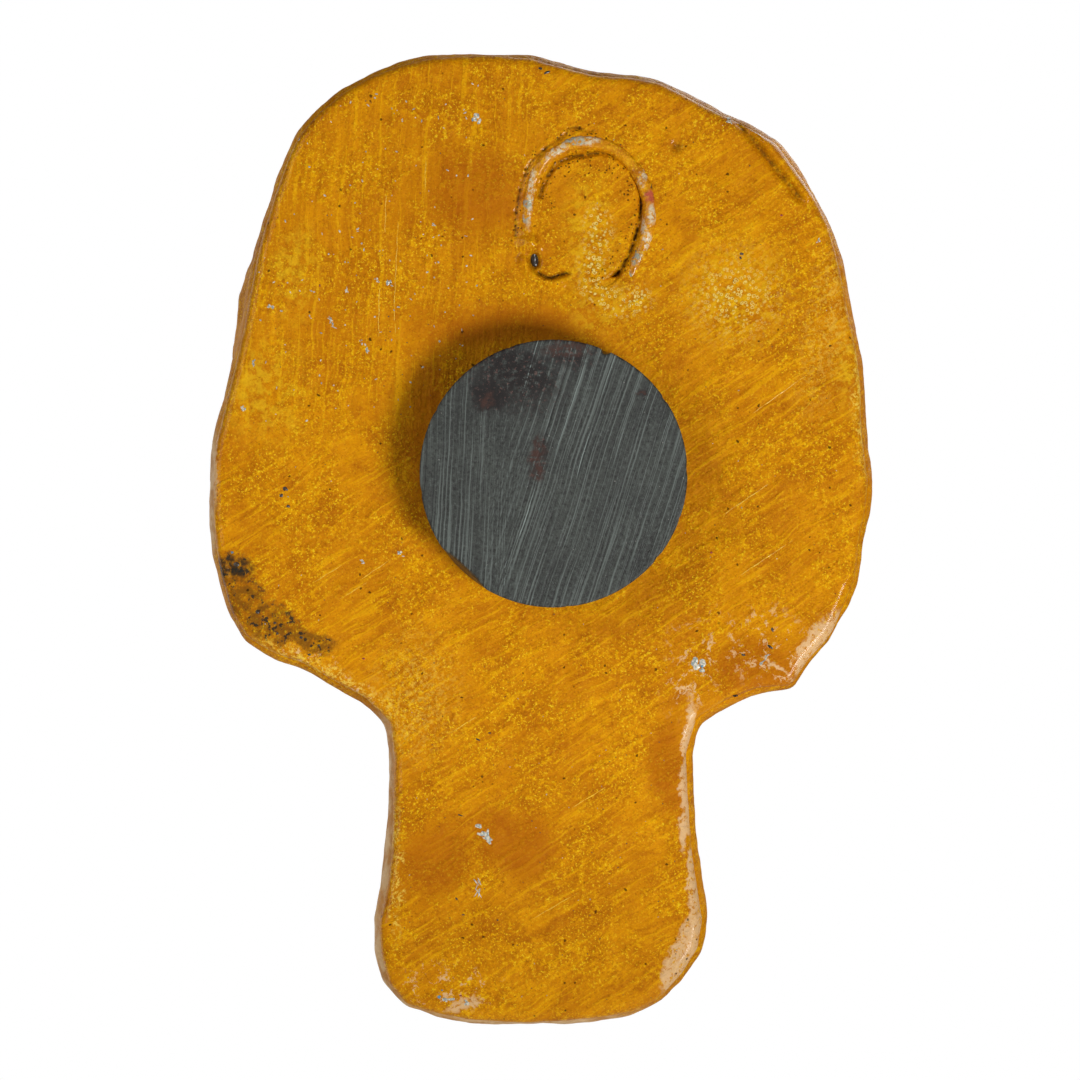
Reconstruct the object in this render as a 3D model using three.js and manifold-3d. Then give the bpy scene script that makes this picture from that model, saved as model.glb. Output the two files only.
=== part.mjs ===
// A calavera plaque of painted paper pulp: a skull in relief on a flat back, with a wire loop bedded
// in the back for a nail and a ferrite disc glued below it for a steel door. Sizes are in millimetres.
//
// It is modelled lying on its magnet: x runs across the face, y up the figure and z out of the face,
// from the magnet's free side. The figure group at the end stands it up, face towards -Y.
import * as THREE from "three";
import { mergeVertices } from "three/addons/utils/BufferGeometryUtils.js";
import Module from "manifold-3d";

const wasm = await Module();
wasm.setup();

// ---- Driving dimensions ----------------------------------------------------------------------

// The plaque. The magnet's centre is the origin, and the figure is placed round it.
const FIGURE_WIDTH = 50.6;
const FIGURE_HEIGHT = 74;
const JAW_WIDTH = 23.4;
const CENTRE_LINE = 1; // the skull's middle, across from the magnet's centre
const MAGNET_RISE = 0.5662; // the magnet's centre above the chin, in shares of the figure's height
const EDGE_THICKNESS = 6.2; // of the pulp body at its rim
const EDGE_ROUNDING = 1.6;

// The back layer of paper and paste, which stops short of the body's edge.
const BACK_LAYER = 2.6;
const BACK_INSET = 0.55;
const BACK_ROUNDING = 0.6;

// The card former, a disc with a tongue for the jaw, in a pocket of the body behind the back layer.
const CARD_THICKNESS = 2;
const CARD_MARGIN = 5; // from the figure's edge
const CARD_TONGUE = 14;
const CARD_CLEARANCE = 0.3;

// The ferrite disc and its glue.
const MAGNET_DIAMETER = 20;
const MAGNET_THICKNESS = 4;
const MAGNET_CHAMFER = 0.2;
const CHIP_DEPTH = 0.3; // a chip knocked off the rim's free corner
const CHIP_HEIGHT = 1.6;
const CHIP_ANGLE = -0.52 * Math.PI / 2;
const GLUE_THICKNESS = 0.4;
const GLUE_MARGIN = 1.2; // the glue stops this far inside the disc's rim

// The hanging loop of steel wire, and the paste smeared over its legs.
const WIRE_DIAMETER = 1.1;
const LOOP_WIDTH = 9.6; // between the wire's centres
const LOOP_BELOW_CROWN = 6.7;
const LOOP_ACROSS = -2.7;
const LOOP_PROUD = 0.45; // how far the wire stands out of the back
const LEG_SINK = 1.1; // how much deeper the ends of the legs lie
const LEG_END = 0.2; // the longer leg stops this far inside the patch
const PATCH_WIDTH = 11;
const PATCH_THICKNESS = 0.5;
const PATCH_RISE = 4.6;
const MAGNET_CLEARANCE = 0.6; // between the patch and the disc's rim

// Relief that is pressed on to the face, each piece in its own bed of paste.
const BED = 0.3; // the paste under every applied piece
const SOCKET_WIDTH = 12;
const SOCKET_HEIGHT = 12.6;
const SOCKET_DEPTH = 5;
const EYE_PETALS = 8;
const EYE_PETAL_LENGTH = 3.4;
const EYE_PETAL_HEIGHT = 1.4;
const BROW_LENGTH = 11;
const BROW_WIDTH = 2.4;
const BROW_HEIGHT = 1.5;
const EYE_BRIDGE = 0.9; // between the two rings of petals
const NOSE_WIDTH = 7.2;
const NOSE_HEIGHT = 7.6;
const NOSE_DEPTH = 3.4;
const TEETH_PER_ROW = 6;
const TOOTH_HEIGHT = 4.6;
const TOOTH_GAP = 0.35;
const TOOTH_STAND = 1.1;
const TOOTH_ROUNDING = 0.45;
const TEETH_MARGIN = 2.6; // from the jaw's edge to the last tooth
const BITE_GAP = 0.7;
const COIL_DIAMETER = 1.3;
const COIL_TURNS = 1.4;
const COIL_RADIUS = 2.7;
const COIL_BELOW = 0.96; // how far round the eye the coil lies, below its outer corner, in radians
const ROSE_ACROSS = 0.873; // from the skull's middle, in shares of the eyes' distance from it
const ROSE_RADIUS = 7.2;
const ROSE_HEIGHT = 3.4;
const ROSE_OUTER_PETALS = 5;
const ROSE_INNER_PETALS = 3;
const LEAF_LENGTH = 8.4;
const LEAF_WIDTH = 4;
const LEAF_STAND = 1.1;
const LEAF_TIP = 0.8;
const LEAF_ROUNDING = 0.3;
const DAISY_RADIUS = 3.5;
const DAISY_LOBES = 5;
const DAISY_STAND = 1.1;
const BEAD_RADIUS = 1.25;

// ---- Heights of the layers, from the magnet's free side --------------------------------------

const glueFloor = MAGNET_THICKNESS;
const backFloor = glueFloor + GLUE_THICKNESS;
const bodyFloor = backFloor + BACK_LAYER;
const bodyRim = bodyFloor + EDGE_THICKNESS;
const chin = -MAGNET_RISE * FIGURE_HEIGHT;
const crown = FIGURE_HEIGHT + chin;

// ---- Making and cutting solids ---------------------------------------------------------------

// A geometry with its doubled corners joined.
function welded(geometry) {
  const bare = geometry.clone();
  bare.deleteAttribute("normal");
  bare.deleteAttribute("uv");
  return mergeVertices(bare, 1e-4);
}

// A three.js geometry as a manifold-3d solid.
function solid(geometry) {
  const merged = welded(geometry);
  const corners = merged.index.array;
  const triVerts = [];
  for (let i = 0; i < corners.length; i += 3) {
    const [a, b, c] = corners.slice(i, i + 3);
    if (a !== b && b !== c && c !== a) triVerts.push(a, b, c);
  }
  return new wasm.Manifold(new wasm.Mesh({
    numProp: 3,
    vertProperties: merged.attributes.position.array,
    triVerts: new Uint32Array(triVerts),
  }));
}

// A manifold-3d solid as a three.js geometry.
function geometryOf(made) {
  const mesh = made.getMesh();
  const geometry = new THREE.BufferGeometry();
  geometry.setAttribute("position", new THREE.BufferAttribute(mesh.vertProperties, 3));
  geometry.setIndex(new THREE.BufferAttribute(mesh.triVerts, 1));
  return geometry;
}

// An ellipsoid with its centre and half sizes, turned about z.
function ellipsoid(centre, halves, turn = 0, around = 14, down = 8) {
  const shape = welded(new THREE.SphereGeometry(1, around, down));
  shape.rotateX(Math.PI / 2);
  shape.scale(...halves);
  shape.rotateZ(turn);
  shape.translate(...centre);
  return shape;
}

// A shape extruded upwards from a floor, with its two rims rounded by the same amount.
function slab(shape, floor, thickness, rounding, segments = 2) {
  const made = new THREE.ExtrudeGeometry(shape, {
    depth: thickness - 2 * rounding,
    bevelEnabled: rounding > 0,
    bevelThickness: rounding,
    bevelSize: rounding,
    bevelOffset: -rounding,
    bevelSegments: segments,
    curveSegments: 12,
  });
  made.translate(0, 0, floor + rounding);
  return made;
}

// A tube along a curve.
function tube(path, radius, sides, steps) {
  const section = new THREE.Shape().absarc(0, 0, radius, 0, 2 * Math.PI);
  return new THREE.ExtrudeGeometry(section, {
    extrudePath: path, steps, bevelEnabled: false, curveSegments: sides,
  });
}

// ---- The outline -----------------------------------------------------------------------------

// Where a point of the figure lies: across in shares of the figure's width from its middle, and up
// in shares of its height from the chin.
function at(across, up) {
  return new THREE.Vector2(CENTRE_LINE + across * FIGURE_WIDTH, chin + up * FIGURE_HEIGHT);
}

// The same for a point of the jaw, across in shares of the jaw's own width.
function atJaw(across, up) {
  return new THREE.Vector2(CENTRE_LINE + across * JAW_WIDTH, chin + up * FIGURE_HEIGHT);
}

// The hand-cut edge, from the crown down the right side, round the jaw and up the left side.
const edge = new THREE.CatmullRomCurve3([
  at(0.012, 0.998), at(0.105, 1), at(0.182, 0.996), at(0.268, 0.975), at(0.315, 0.955), at(0.37, 0.915),
  at(0.405, 0.854), at(0.43, 0.793), at(0.453, 0.712), at(0.483, 0.63), at(0.497, 0.59), at(0.5, 0.548),
  at(0.494, 0.488), at(0.48, 0.447), at(0.458, 0.407), at(0.428, 0.386), at(0.358, 0.366),
  at(0.308, 0.346), at(0.254, 0.326), atJaw(0.5, 0.306), atJaw(0.495, 0.245), atJaw(0.503, 0.184),
  atJaw(0.515, 0.149), atJaw(0.54, 0.118), atJaw(0.538, 0.082), atJaw(0.513, 0.046), atJaw(0.458, 0.022),
  atJaw(0.257, 0.004), atJaw(0.06, 0), atJaw(-0.085, 0.001), atJaw(-0.29, 0.01), atJaw(-0.38, 0.022),
  atJaw(-0.483, 0.057), atJaw(-0.53, 0.082), atJaw(-0.543, 0.107), atJaw(-0.521, 0.163),
  atJaw(-0.504, 0.224), atJaw(-0.496, 0.285), at(-0.237, 0.308), at(-0.276, 0.326), at(-0.342, 0.344),
  at(-0.38, 0.345), at(-0.402, 0.369), at(-0.45, 0.407), at(-0.46, 0.427), at(-0.479, 0.458),
  at(-0.484, 0.489), at(-0.5, 0.554), at(-0.489, 0.611), at(-0.487, 0.672), at(-0.471, 0.732),
  at(-0.453, 0.793), at(-0.432, 0.834), at(-0.395, 0.875), at(-0.35, 0.915), at(-0.285, 0.936),
  at(-0.227, 0.956), at(-0.164, 0.976), at(-0.09, 0.98),
].map((p) => new THREE.Vector3(p.x, p.y, 0)), true, "centripetal");

// The edge moved inwards by a distance, as a closed shape.
function outline(inset, points = 84) {
  const moved = [];
  for (let i = 0; i < points; i++) {
    const p = edge.getPointAt(i / points);
    const along = edge.getTangentAt(i / points);
    moved.push(new THREE.Vector2(p.x + along.y * inset, p.y - along.x * inset));
  }
  return new THREE.Shape(moved);
}

// ---- The body: domes raised on a slab, with the sockets and the nose pressed in --------------

const socketRing = SOCKET_WIDTH / 2 + EYE_PETAL_LENGTH;
const eyeSpacing = socketRing + EYE_BRIDGE / 2;
const eyeLine = at(0, 0.552).y;
const biteLine = at(0, 0.185).y;

// Each dome stands on the body's rim height: its centre, its half sizes and its turn about z.
const domes = [
  { centre: at(0, 0.69), across: 23.8, up: 21.8, stand: 6.6 },
  { centre: at(0, 0.47), across: 20, up: 12.5, stand: 5.2 },
  { centre: at(0.305, 0.45), across: 7.6, up: 5.9, stand: 5.2 },
  { centre: at(-0.305, 0.45), across: 7.6, up: 5.9, stand: 5.2 },
  { centre: at(0, 0.345), across: 11.6, up: 8.6, stand: 5.6 },
  { centre: atJaw(0, 0.195), across: 10.9, up: 13.8, stand: 4.6 },
  { centre: atJaw(0, 0.07), across: 9.6, up: 4.8, stand: 4.5 },
];

// The height of the relief over a point of the face.
function faceHeight(x, y) {
  let height = 0;
  for (const dome of domes) {
    const turn = dome.turn ?? 0;
    const [dx, dy] = [x - dome.centre.x, y - dome.centre.y];
    const u = (dx * Math.cos(turn) + dy * Math.sin(turn)) / dome.across;
    const v = (dy * Math.cos(turn) - dx * Math.sin(turn)) / dome.up;
    height = Math.max(height, dome.stand * Math.sqrt(Math.max(0, 1 - u * u - v * v)));
  }
  return bodyRim + height;
}

function socket(side) {
  const x = CENTRE_LINE + side * eyeSpacing;
  return ellipsoid([x, eyeLine, faceHeight(x, eyeLine) + 0.6],
    [SOCKET_WIDTH / 2, SOCKET_HEIGHT / 2, SOCKET_DEPTH], 0, 24, 12);
}

// The nose is a heart upside down: two hollows that lean together at the top.
function nostril(side) {
  const lean = side * 0.34;
  const [x, y] = [CENTRE_LINE + side * NOSE_WIDTH * 0.22, at(0, 0.405).y];
  return ellipsoid([x, y, faceHeight(x, y) + 0.3],
    [NOSE_WIDTH * 0.29, NOSE_HEIGHT / 2, NOSE_DEPTH], lean, 16, 10);
}

// The card former, or with a clearance the pocket that it lies in.
function card(clearance) {
  const r = FIGURE_WIDTH / 2 - CARD_MARGIN + clearance;
  const half = CARD_TONGUE / 2 + clearance;
  const centre = at(0, 0.64);
  const end = at(0, 0).y + CARD_MARGIN - clearance;
  const root = Math.asin(half / r);
  const shape = new THREE.Shape().moveTo(CENTRE_LINE - half, end);
  shape.lineTo(CENTRE_LINE + half, end);
  shape.absarc(centre.x, centre.y, r, root - Math.PI / 2, 1.5 * Math.PI - root);
  return slab(shape, bodyFloor - clearance, CARD_THICKNESS + 2 * clearance, 0);
}

function makeBody() {
  const below = new THREE.BoxGeometry(2 * FIGURE_WIDTH, 2 * FIGURE_HEIGHT, FIGURE_WIDTH);
  below.translate(0, 0, bodyRim - 2 * EDGE_ROUNDING / 3 - FIGURE_WIDTH / 2);
  let relief;
  for (const dome of domes) {
    const halves = [dome.across, dome.up, dome.stand];
    const made = solid(ellipsoid([dome.centre.x, dome.centre.y, bodyRim], halves, dome.turn ?? 0, 28, 14));
    relief = relief ? relief.add(made) : made;
  }
  let body = solid(slab(outline(0), bodyFloor, EDGE_THICKNESS, EDGE_ROUNDING)).add(relief.subtract(solid(below)));
  for (const cut of [card(CARD_CLEARANCE), socket(-1), socket(1), nostril(-1), nostril(1)]) {
    body = body.subtract(solid(cut));
  }
  return body;
}

const body = makeBody();
// What an applied piece is cut with, so that it keeps its bed of paste.
const bodyAndBed = body.add(body.translate([0, 0, BED]));

// A piece pressed on to the face, and on to pieces that were there before it.
function pressed(geometry, under = []) {
  let piece = solid(geometry).subtract(bodyAndBed);
  for (const other of under) {
    piece = piece.subtract(other.add(other.translate([0, 0, BED])));
  }
  return piece;
}

// ---- The back: layer, card, magnet, glue, loop and patch -------------------------------------

// The loop's wire, from the end of one leg up round the loop to the other. Across is in shares of
// half the loop's width, and down in shares of its height, which ends where the patch does; sunk
// goes from 0 where the wire shows to 1 where it is deepest.
const patchFloor = MAGNET_DIAMETER / 2 + MAGNET_CLEARANCE;
const loopTop = crown - LOOP_BELOW_CROWN;
const loopHeight = loopTop - patchFloor - LEG_END;
function loopPath() {
  const level = backFloor - LOOP_PROUD + WIRE_DIAMETER / 2;
  const points = [
    [0.62, 0.96, 1], [0.72, 0.81, 0.9], [0.85, 0.645, 0.35], [0.97, 0.48, 0.02], [1, 0.33, 0],
    [0.84, 0.15, 0], [0.47, 0.034, 0], [0, 0, 0], [-0.47, 0.048, 0], [-0.86, 0.19, 0], [-1, 0.363, 0],
    [-0.95, 0.534, 0.02], [-0.76, 0.712, 0.35], [-0.56, 0.863, 0.9], [-0.4, 1, 1],
  ];
  return new THREE.CatmullRomCurve3(points.map(([across, down, sunk]) => new THREE.Vector3(
    LOOP_ACROSS + across * LOOP_WIDTH / 2, loopTop - down * loopHeight, level + sunk * LEG_SINK)));
}

const loopGroove = solid(tube(loopPath(), WIRE_DIAMETER / 2 + BED, 8, 36));

function makeBackLayer() {
  return solid(slab(outline(BACK_INSET), backFloor, BACK_LAYER, BACK_ROUNDING)).subtract(loopGroove);
}

function makePatch() {
  const smear = ellipsoid([LOOP_ACROSS, patchFloor + PATCH_RISE / 2, backFloor],
    [PATCH_WIDTH / 2, PATCH_RISE / 2, PATCH_THICKNESS], 0, 24, 8);
  const above = new THREE.BoxGeometry(2 * PATCH_WIDTH, 2 * PATCH_RISE, 2 * PATCH_THICKNESS);
  above.translate(LOOP_ACROSS, patchFloor + PATCH_RISE / 2, backFloor + PATCH_THICKNESS);
  return solid(smear).subtract(solid(above)).subtract(loopGroove);
}

function makeMagnet() {
  const [r, t, c] = [MAGNET_DIAMETER / 2, MAGNET_THICKNESS, MAGNET_CHAMFER];
  const profile = [[0, 0], [r - c, 0], [r, c], [r, t - c], [r - c, t], [0, t]];
  const disc = new THREE.LatheGeometry(profile.map((p) => new THREE.Vector2(...p)), 48);
  disc.rotateX(Math.PI / 2);
  const chip = new THREE.BoxGeometry(2, r, 2 * CHIP_HEIGHT);
  chip.translate(r + 1 - CHIP_DEPTH, 0, 0);
  chip.rotateZ(CHIP_ANGLE);
  return solid(disc).subtract(solid(chip));
}

function makeGlue() {
  const r = MAGNET_DIAMETER / 2 - GLUE_MARGIN;
  return slab(new THREE.Shape().absarc(0, 0, r, 0, 2 * Math.PI), glueFloor, GLUE_THICKNESS, 0);
}

// ---- The relief on the face ------------------------------------------------------------------

// The petals round one eye, pressed on in a ring about its socket.
function eyePetal(side, index) {
  const angle = (index + 0.5) * 2 * Math.PI / EYE_PETALS;
  const [rx, ry] = [SOCKET_WIDTH / 2 + EYE_PETAL_LENGTH / 2, SOCKET_HEIGHT / 2 + EYE_PETAL_LENGTH / 2];
  const x = CENTRE_LINE + side * (eyeSpacing + rx * Math.cos(angle));
  const y = eyeLine + ry * Math.sin(angle);
  const pitch = 2 * Math.min(rx, ry) * Math.sin(Math.PI / EYE_PETALS);
  const turn = Math.atan2(Math.sin(angle), side * Math.cos(angle));
  return pressed(ellipsoid([x, y, faceHeight(x, y) + BED],
    [EYE_PETAL_LENGTH / 2, (pitch - BED) / 2, EYE_PETAL_HEIGHT], turn, 14, 10));
}

// A roll of pulp laid over each eye, low at its outer end.
function brow(side, under) {
  const reach = SOCKET_HEIGHT / 2 + EYE_PETAL_LENGTH + BROW_WIDTH * 0.75;
  const [x, y] = [CENTRE_LINE + side * eyeSpacing, eyeLine + reach];
  return pressed(ellipsoid([x, y, faceHeight(x, y)],
    [BROW_LENGTH / 2, BROW_WIDTH / 2, BROW_HEIGHT], -side * 0.16, 18, 10), under);
}

function tooth(row, index) {
  const pitch = (JAW_WIDTH - 2 * TEETH_MARGIN) / TEETH_PER_ROW;
  const x = CENTRE_LINE + (index - (TEETH_PER_ROW - 1) / 2) * pitch;
  const y = biteLine + row * (BITE_GAP + TOOTH_HEIGHT) / 2;
  const [half, tall] = [(pitch - TOOTH_GAP) / 2, TOOTH_HEIGHT / 2];
  const root = row * (tall - half);
  const shape = new THREE.Shape().moveTo(x - row * half, y - row * tall);
  shape.lineTo(x + row * half, y - row * tall);
  shape.absarc(x, y + root, half, row > 0 ? 0 : Math.PI, row > 0 ? Math.PI : 2 * Math.PI);
  const top = faceHeight(x, y) + TOOTH_STAND;
  return pressed(slab(shape, bodyRim, top - bodyRim, TOOTH_ROUNDING));
}

// A rolled worm of pulp, curled on the cheekbone from its middle outwards.
function cheekCoil(side, under) {
  const out = [SOCKET_WIDTH, SOCKET_HEIGHT].map((size) => size / 2 + EYE_PETAL_LENGTH + COIL_RADIUS);
  const centre = { x: CENTRE_LINE + side * (eyeSpacing + out[0] * Math.cos(COIL_BELOW)),
    y: eyeLine - out[1] * Math.sin(COIL_BELOW) };
  const path = new THREE.CatmullRomCurve3(Array.from({ length: 13 }, (_, i) => {
    const share = i / 12;
    const angle = share * COIL_TURNS * 2 * Math.PI;
    const r = 0.7 + share * (COIL_RADIUS - 0.7);
    const [x, y] = [centre.x - side * r * Math.cos(angle), centre.y + r * Math.sin(angle)];
    return new THREE.Vector3(x, y, faceHeight(x, y) + COIL_DIAMETER * 0.25);
  }));
  return pressed(tube(path, COIL_DIAMETER / 2, 6, 26), under);
}

// The rose: petals in a ring, a bud in their middle and more petals leaning on both.
const roseCentre = { x: CENTRE_LINE - ROSE_ACROSS * eyeSpacing, y: at(0, 0.86).y };
function rosePieces() {
  const made = {};
  const roseFloor = faceHeight(roseCentre.x, roseCentre.y);
  const ring = (name, count, radius, reach, lift, start) => {
    const under = Object.values(made);
    for (let i = 0; i < count; i++) {
      const angle = start + i * 2 * Math.PI / count;
      const [x, y] = [roseCentre.x + radius * Math.cos(angle), roseCentre.y + radius * Math.sin(angle)];
      const wide = radius * Math.sin(Math.PI / count) - BED / 2;
      made[`${name}_${i + 1}`] = pressed(ellipsoid([x, y, faceHeight(x, y) + lift],
        [reach, wide, ROSE_HEIGHT / 3], angle, 14, 10), under);
    }
  };
  const outer = ROSE_RADIUS * 0.64;
  ring("rose_outer_petal", ROSE_OUTER_PETALS, outer, ROSE_RADIUS - outer, ROSE_HEIGHT * 0.1, Math.PI / 2);
  const budRadius = ROSE_RADIUS * 0.25;
  made.rose_bud = pressed(ellipsoid([roseCentre.x, roseCentre.y, roseFloor + ROSE_HEIGHT * 0.45],
    [budRadius, budRadius, ROSE_HEIGHT * 0.55], 0, 14, 10), Object.values(made));
  const inner = ROSE_RADIUS * 0.38;
  ring("rose_inner_petal", ROSE_INNER_PETALS, inner, inner * 0.75, ROSE_HEIGHT * 0.5, Math.PI / 3);
  return made;
}

// A leaf with two curved sides and blunt tips, its stalk towards the rose.
function leaf(angle, under) {
  const [half, tip] = [LEAF_LENGTH / 2, LEAF_TIP / 2];
  const bulge = LEAF_WIDTH - tip; // the curve passes halfway between this and the tips
  const shape = new THREE.Shape().moveTo(-half, -tip);
  shape.quadraticCurveTo(0, -bulge, half, -tip);
  shape.lineTo(half, tip);
  shape.quadraticCurveTo(0, bulge, -half, tip);
  const reach = ROSE_RADIUS + half * 0.82;
  const [x, y] = [roseCentre.x + reach * Math.cos(angle), roseCentre.y + reach * Math.sin(angle)];
  const floor = Math.min(faceHeight(x, y), bodyRim) - 2;
  const made = slab(shape, floor, faceHeight(x, y) + LEAF_STAND - floor, LEAF_ROUNDING, 1);
  made.rotateZ(angle);
  made.translate(x, y, 0);
  return pressed(made, under);
}

// A small flower cut as one lobed disc, with a bead of pulp in its middle.
function daisy(centre, under) {
  const shape = new THREE.Shape();
  const steps = DAISY_LOBES * 8;
  for (let i = 0; i <= steps; i++) {
    const angle = i * 2 * Math.PI / steps;
    const r = DAISY_RADIUS * (0.8 + 0.2 * Math.cos(DAISY_LOBES * angle));
    const [x, y] = [centre.x + r * Math.sin(angle), centre.y + r * Math.cos(angle)];
    if (i) shape.lineTo(x, y);
    else shape.moveTo(x, y);
  }
  const top = faceHeight(centre.x, centre.y) + DAISY_STAND;
  return pressed(slab(shape, top - 4, 4, 0.4, 1), under);
}

function bead(centre, disc) {
  const z = faceHeight(centre.x, centre.y) + DAISY_STAND + BED;
  return pressed(ellipsoid([centre.x, centre.y, z], [BEAD_RADIUS, BEAD_RADIUS, BEAD_RADIUS * 0.8], 0, 12, 8), [disc]);
}

// ---- The assembly ----------------------------------------------------------------------------

const finish = (color, roughness, metalness = 0) => new THREE.MeshStandardMaterial({ color, roughness, metalness });
const materials = {
  ochre: finish(0xc98a0a, 0.32),
  card: finish(0x9a7b52, 0.9),
  ferrite: finish(0x44484a, 0.5, 0.1),
  glue: finish(0xb79a5a, 0.25),
  wire: finish(0xa79a86, 0.45, 0.4),
  teal: finish(0x2f9a94, 0.35),
  ivory: finish(0xe8dcc0, 0.35),
  red: finish(0xb5202a, 0.35),
  pink: finish(0xd9648c, 0.35),
  green: finish(0x2f7d46, 0.35),
  blue: finish(0x2a5fa8, 0.35),
};

const figure = new THREE.Group();
function add(name, made, material) {
  const geometry = made.isBufferGeometry ? made : geometryOf(made);
  const mesh = new THREE.Mesh(geometry, materials[material]);
  mesh.name = name;
  figure.add(mesh);
  return made;
}

add("head_body", body, "ochre");
add("card_former", card(0), "card");
add("back_layer", makeBackLayer(), "ochre");
add("magnet", makeMagnet(), "ferrite");
add("magnet_glue", makeGlue(), "glue");
add("hanging_loop", tube(loopPath(), WIRE_DIAMETER / 2, 8, 36), "wire");
add("loop_patch", makePatch(), "ochre");

const brows = [];
for (const [side, word] of [[-1, "left"], [1, "right"]]) {
  const petals = [];
  for (let i = 0; i < EYE_PETALS; i++) {
    petals.push(add(`eye_petal_${word}_${i + 1}`, eyePetal(side, i), i % 2 ? "red" : "teal"));
  }
  brows.push(add(`brow_${word}`, brow(side, petals), "blue"));
  add(`cheek_coil_${word}`, cheekCoil(side, petals), "pink");
}
const teeth = [];
for (const [row, word] of [[1, "upper"], [-1, "lower"]]) {
  for (let i = 0; i < TEETH_PER_ROW; i++) {
    teeth.push(add(`${word}_tooth_${i + 1}`, tooth(row, i), "ivory"));
  }
}

const rose = rosePieces();
for (const [name, piece] of Object.entries(rose)) add(name, piece, name.includes("inner") ? "pink" : "red");
const outerPetals = Object.entries(rose).filter(([name]) => name.includes("outer")).map(([, piece]) => piece);
const leaves = [[1, 0.06], [2, -0.85], [3, -2.5]].map(([number, angle]) =>
  add(`rose_leaf_${number}`, leaf(angle, [...outerPetals, ...brows]), "green"));

for (const [name, centre, material] of [
  ["crown_daisy", at(0.195, 0.88), "blue"],
  ["temple_daisy", at(0.31, 0.775), "pink"],
  ["chin_daisy", at(0, 0.062), "teal"],
]) {
  const disc = add(name, daisy(centre, [...leaves, ...brows, ...teeth]), material);
  add(`${name}_bead`, bead(centre, disc), "ivory");
}

figure.rotation.x = Math.PI / 2;

export default figure;
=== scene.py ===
import math
import random

import bpy
import numpy as np
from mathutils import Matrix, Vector


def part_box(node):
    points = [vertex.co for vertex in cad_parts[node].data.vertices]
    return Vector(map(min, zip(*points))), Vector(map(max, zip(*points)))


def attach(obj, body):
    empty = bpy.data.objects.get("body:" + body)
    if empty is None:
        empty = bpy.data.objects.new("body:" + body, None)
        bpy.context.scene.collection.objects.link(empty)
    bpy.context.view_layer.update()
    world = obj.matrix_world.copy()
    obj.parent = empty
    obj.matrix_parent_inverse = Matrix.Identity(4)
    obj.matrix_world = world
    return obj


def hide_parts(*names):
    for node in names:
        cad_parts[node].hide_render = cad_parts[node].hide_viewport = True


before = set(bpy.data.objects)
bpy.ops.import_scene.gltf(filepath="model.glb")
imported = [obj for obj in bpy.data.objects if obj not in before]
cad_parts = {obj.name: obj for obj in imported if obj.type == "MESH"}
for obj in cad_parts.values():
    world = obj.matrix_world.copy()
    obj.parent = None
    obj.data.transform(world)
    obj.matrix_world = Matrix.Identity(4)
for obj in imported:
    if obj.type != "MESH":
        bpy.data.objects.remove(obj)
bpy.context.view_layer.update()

MM = 0.001
bpy.ops.object.select_all(action="DESELECT")


# ---- The head ------------------------------------------------------------------------------
# A pad of paper pulp pressed over a card former, modelled with the thumbs while it was wet,
# dried and sanded a little. The face is primed cream; ochre is brushed over its rear edge.

HEAD_GRAIN = 0.36  # the finest shape that the pulp keeps, in mm


def solid_copy(node, name):
    """A clean mesh of its own that starts as one of the plain solids, selected and active."""
    bpy.ops.object.select_all(action="DESELECT")
    piece = bpy.data.objects.new(name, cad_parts[node].data.copy())
    bpy.context.scene.collection.objects.link(piece)
    piece.data.materials.clear()
    bpy.context.view_layer.objects.active = piece
    piece.select_set(True)
    bpy.ops.object.mode_set(mode="EDIT")
    bpy.ops.mesh.select_all(action="SELECT")
    bpy.ops.mesh.remove_doubles(threshold=0.002 * MM)
    bpy.ops.object.mode_set(mode="OBJECT")
    return piece


def take(piece):
    """Makes a piece the active one and the only one selected."""
    bpy.ops.object.select_all(action="DESELECT")
    bpy.context.view_layer.objects.active = piece
    piece.select_set(True)


def as_mesh(piece):
    """Turns a curve into a mesh."""
    take(piece)
    bpy.ops.object.convert(target="MESH")
    return bpy.context.object


def modify(piece, kind, **settings):
    """Adds a modifier and applies it at once."""
    take(piece)
    step = piece.modifiers.new(kind.lower(), kind)
    for key, value in settings.items():
        setattr(step, key, value)
    bpy.ops.object.modifier_apply(modifier=step.name)


def lumps(piece, size, height, seed_turn=0):
    """Makes a surface uneven, with lumps of one size in mm and a height in mm."""
    texture = bpy.data.textures.new("lumps", "CLOUDS")
    texture.noise_scale = size * MM
    texture.noise_depth = seed_turn
    modify(piece, "DISPLACE", texture=texture, strength=height * MM, mid_level=0.5,
           texture_coords="LOCAL")
    bpy.data.textures.remove(texture)


def points_of(piece):
    """The corners of a mesh in mm, and the way that each faces."""
    count = len(piece.data.vertices)
    places, facing = np.empty(count * 3), np.empty(count * 3)
    piece.data.vertices.foreach_get("co", places)
    piece.data.vertices.foreach_get("normal", facing)
    return places.reshape(-1, 3) / MM, facing.reshape(-1, 3)


def put_points(piece, places):
    piece.data.vertices.foreach_set("co", (places * MM).astype(np.float32).ravel())
    piece.data.update()


def finished(piece, material, slot, *nodes):
    """Paints a piece, fixes it to the plaque and hides the solids it stands for."""
    piece.data.materials.clear()
    piece.data.materials.append(material)
    for face in piece.data.polygons:
        face.use_smooth = True
    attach(piece, "root")
    if nodes:
        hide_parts(*nodes)
    return piece


def colour(code):
    """A six-figure screen colour as the linear colour that shaders take."""
    levels = [int(code[i:i + 2], 16) / 255 for i in (0, 2, 4)]
    return tuple(v / 12.92 if v < 0.04045 else ((v + 0.055) / 1.055) ** 2.4 for v in levels) + (1.0,)


def give(tree, socket, value):
    """Joins a socket to another one, or sets its value."""
    if isinstance(value, bpy.types.NodeSocket):
        tree.links.new(value, socket)
    elif value is not None:
        socket.default_value = value


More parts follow.
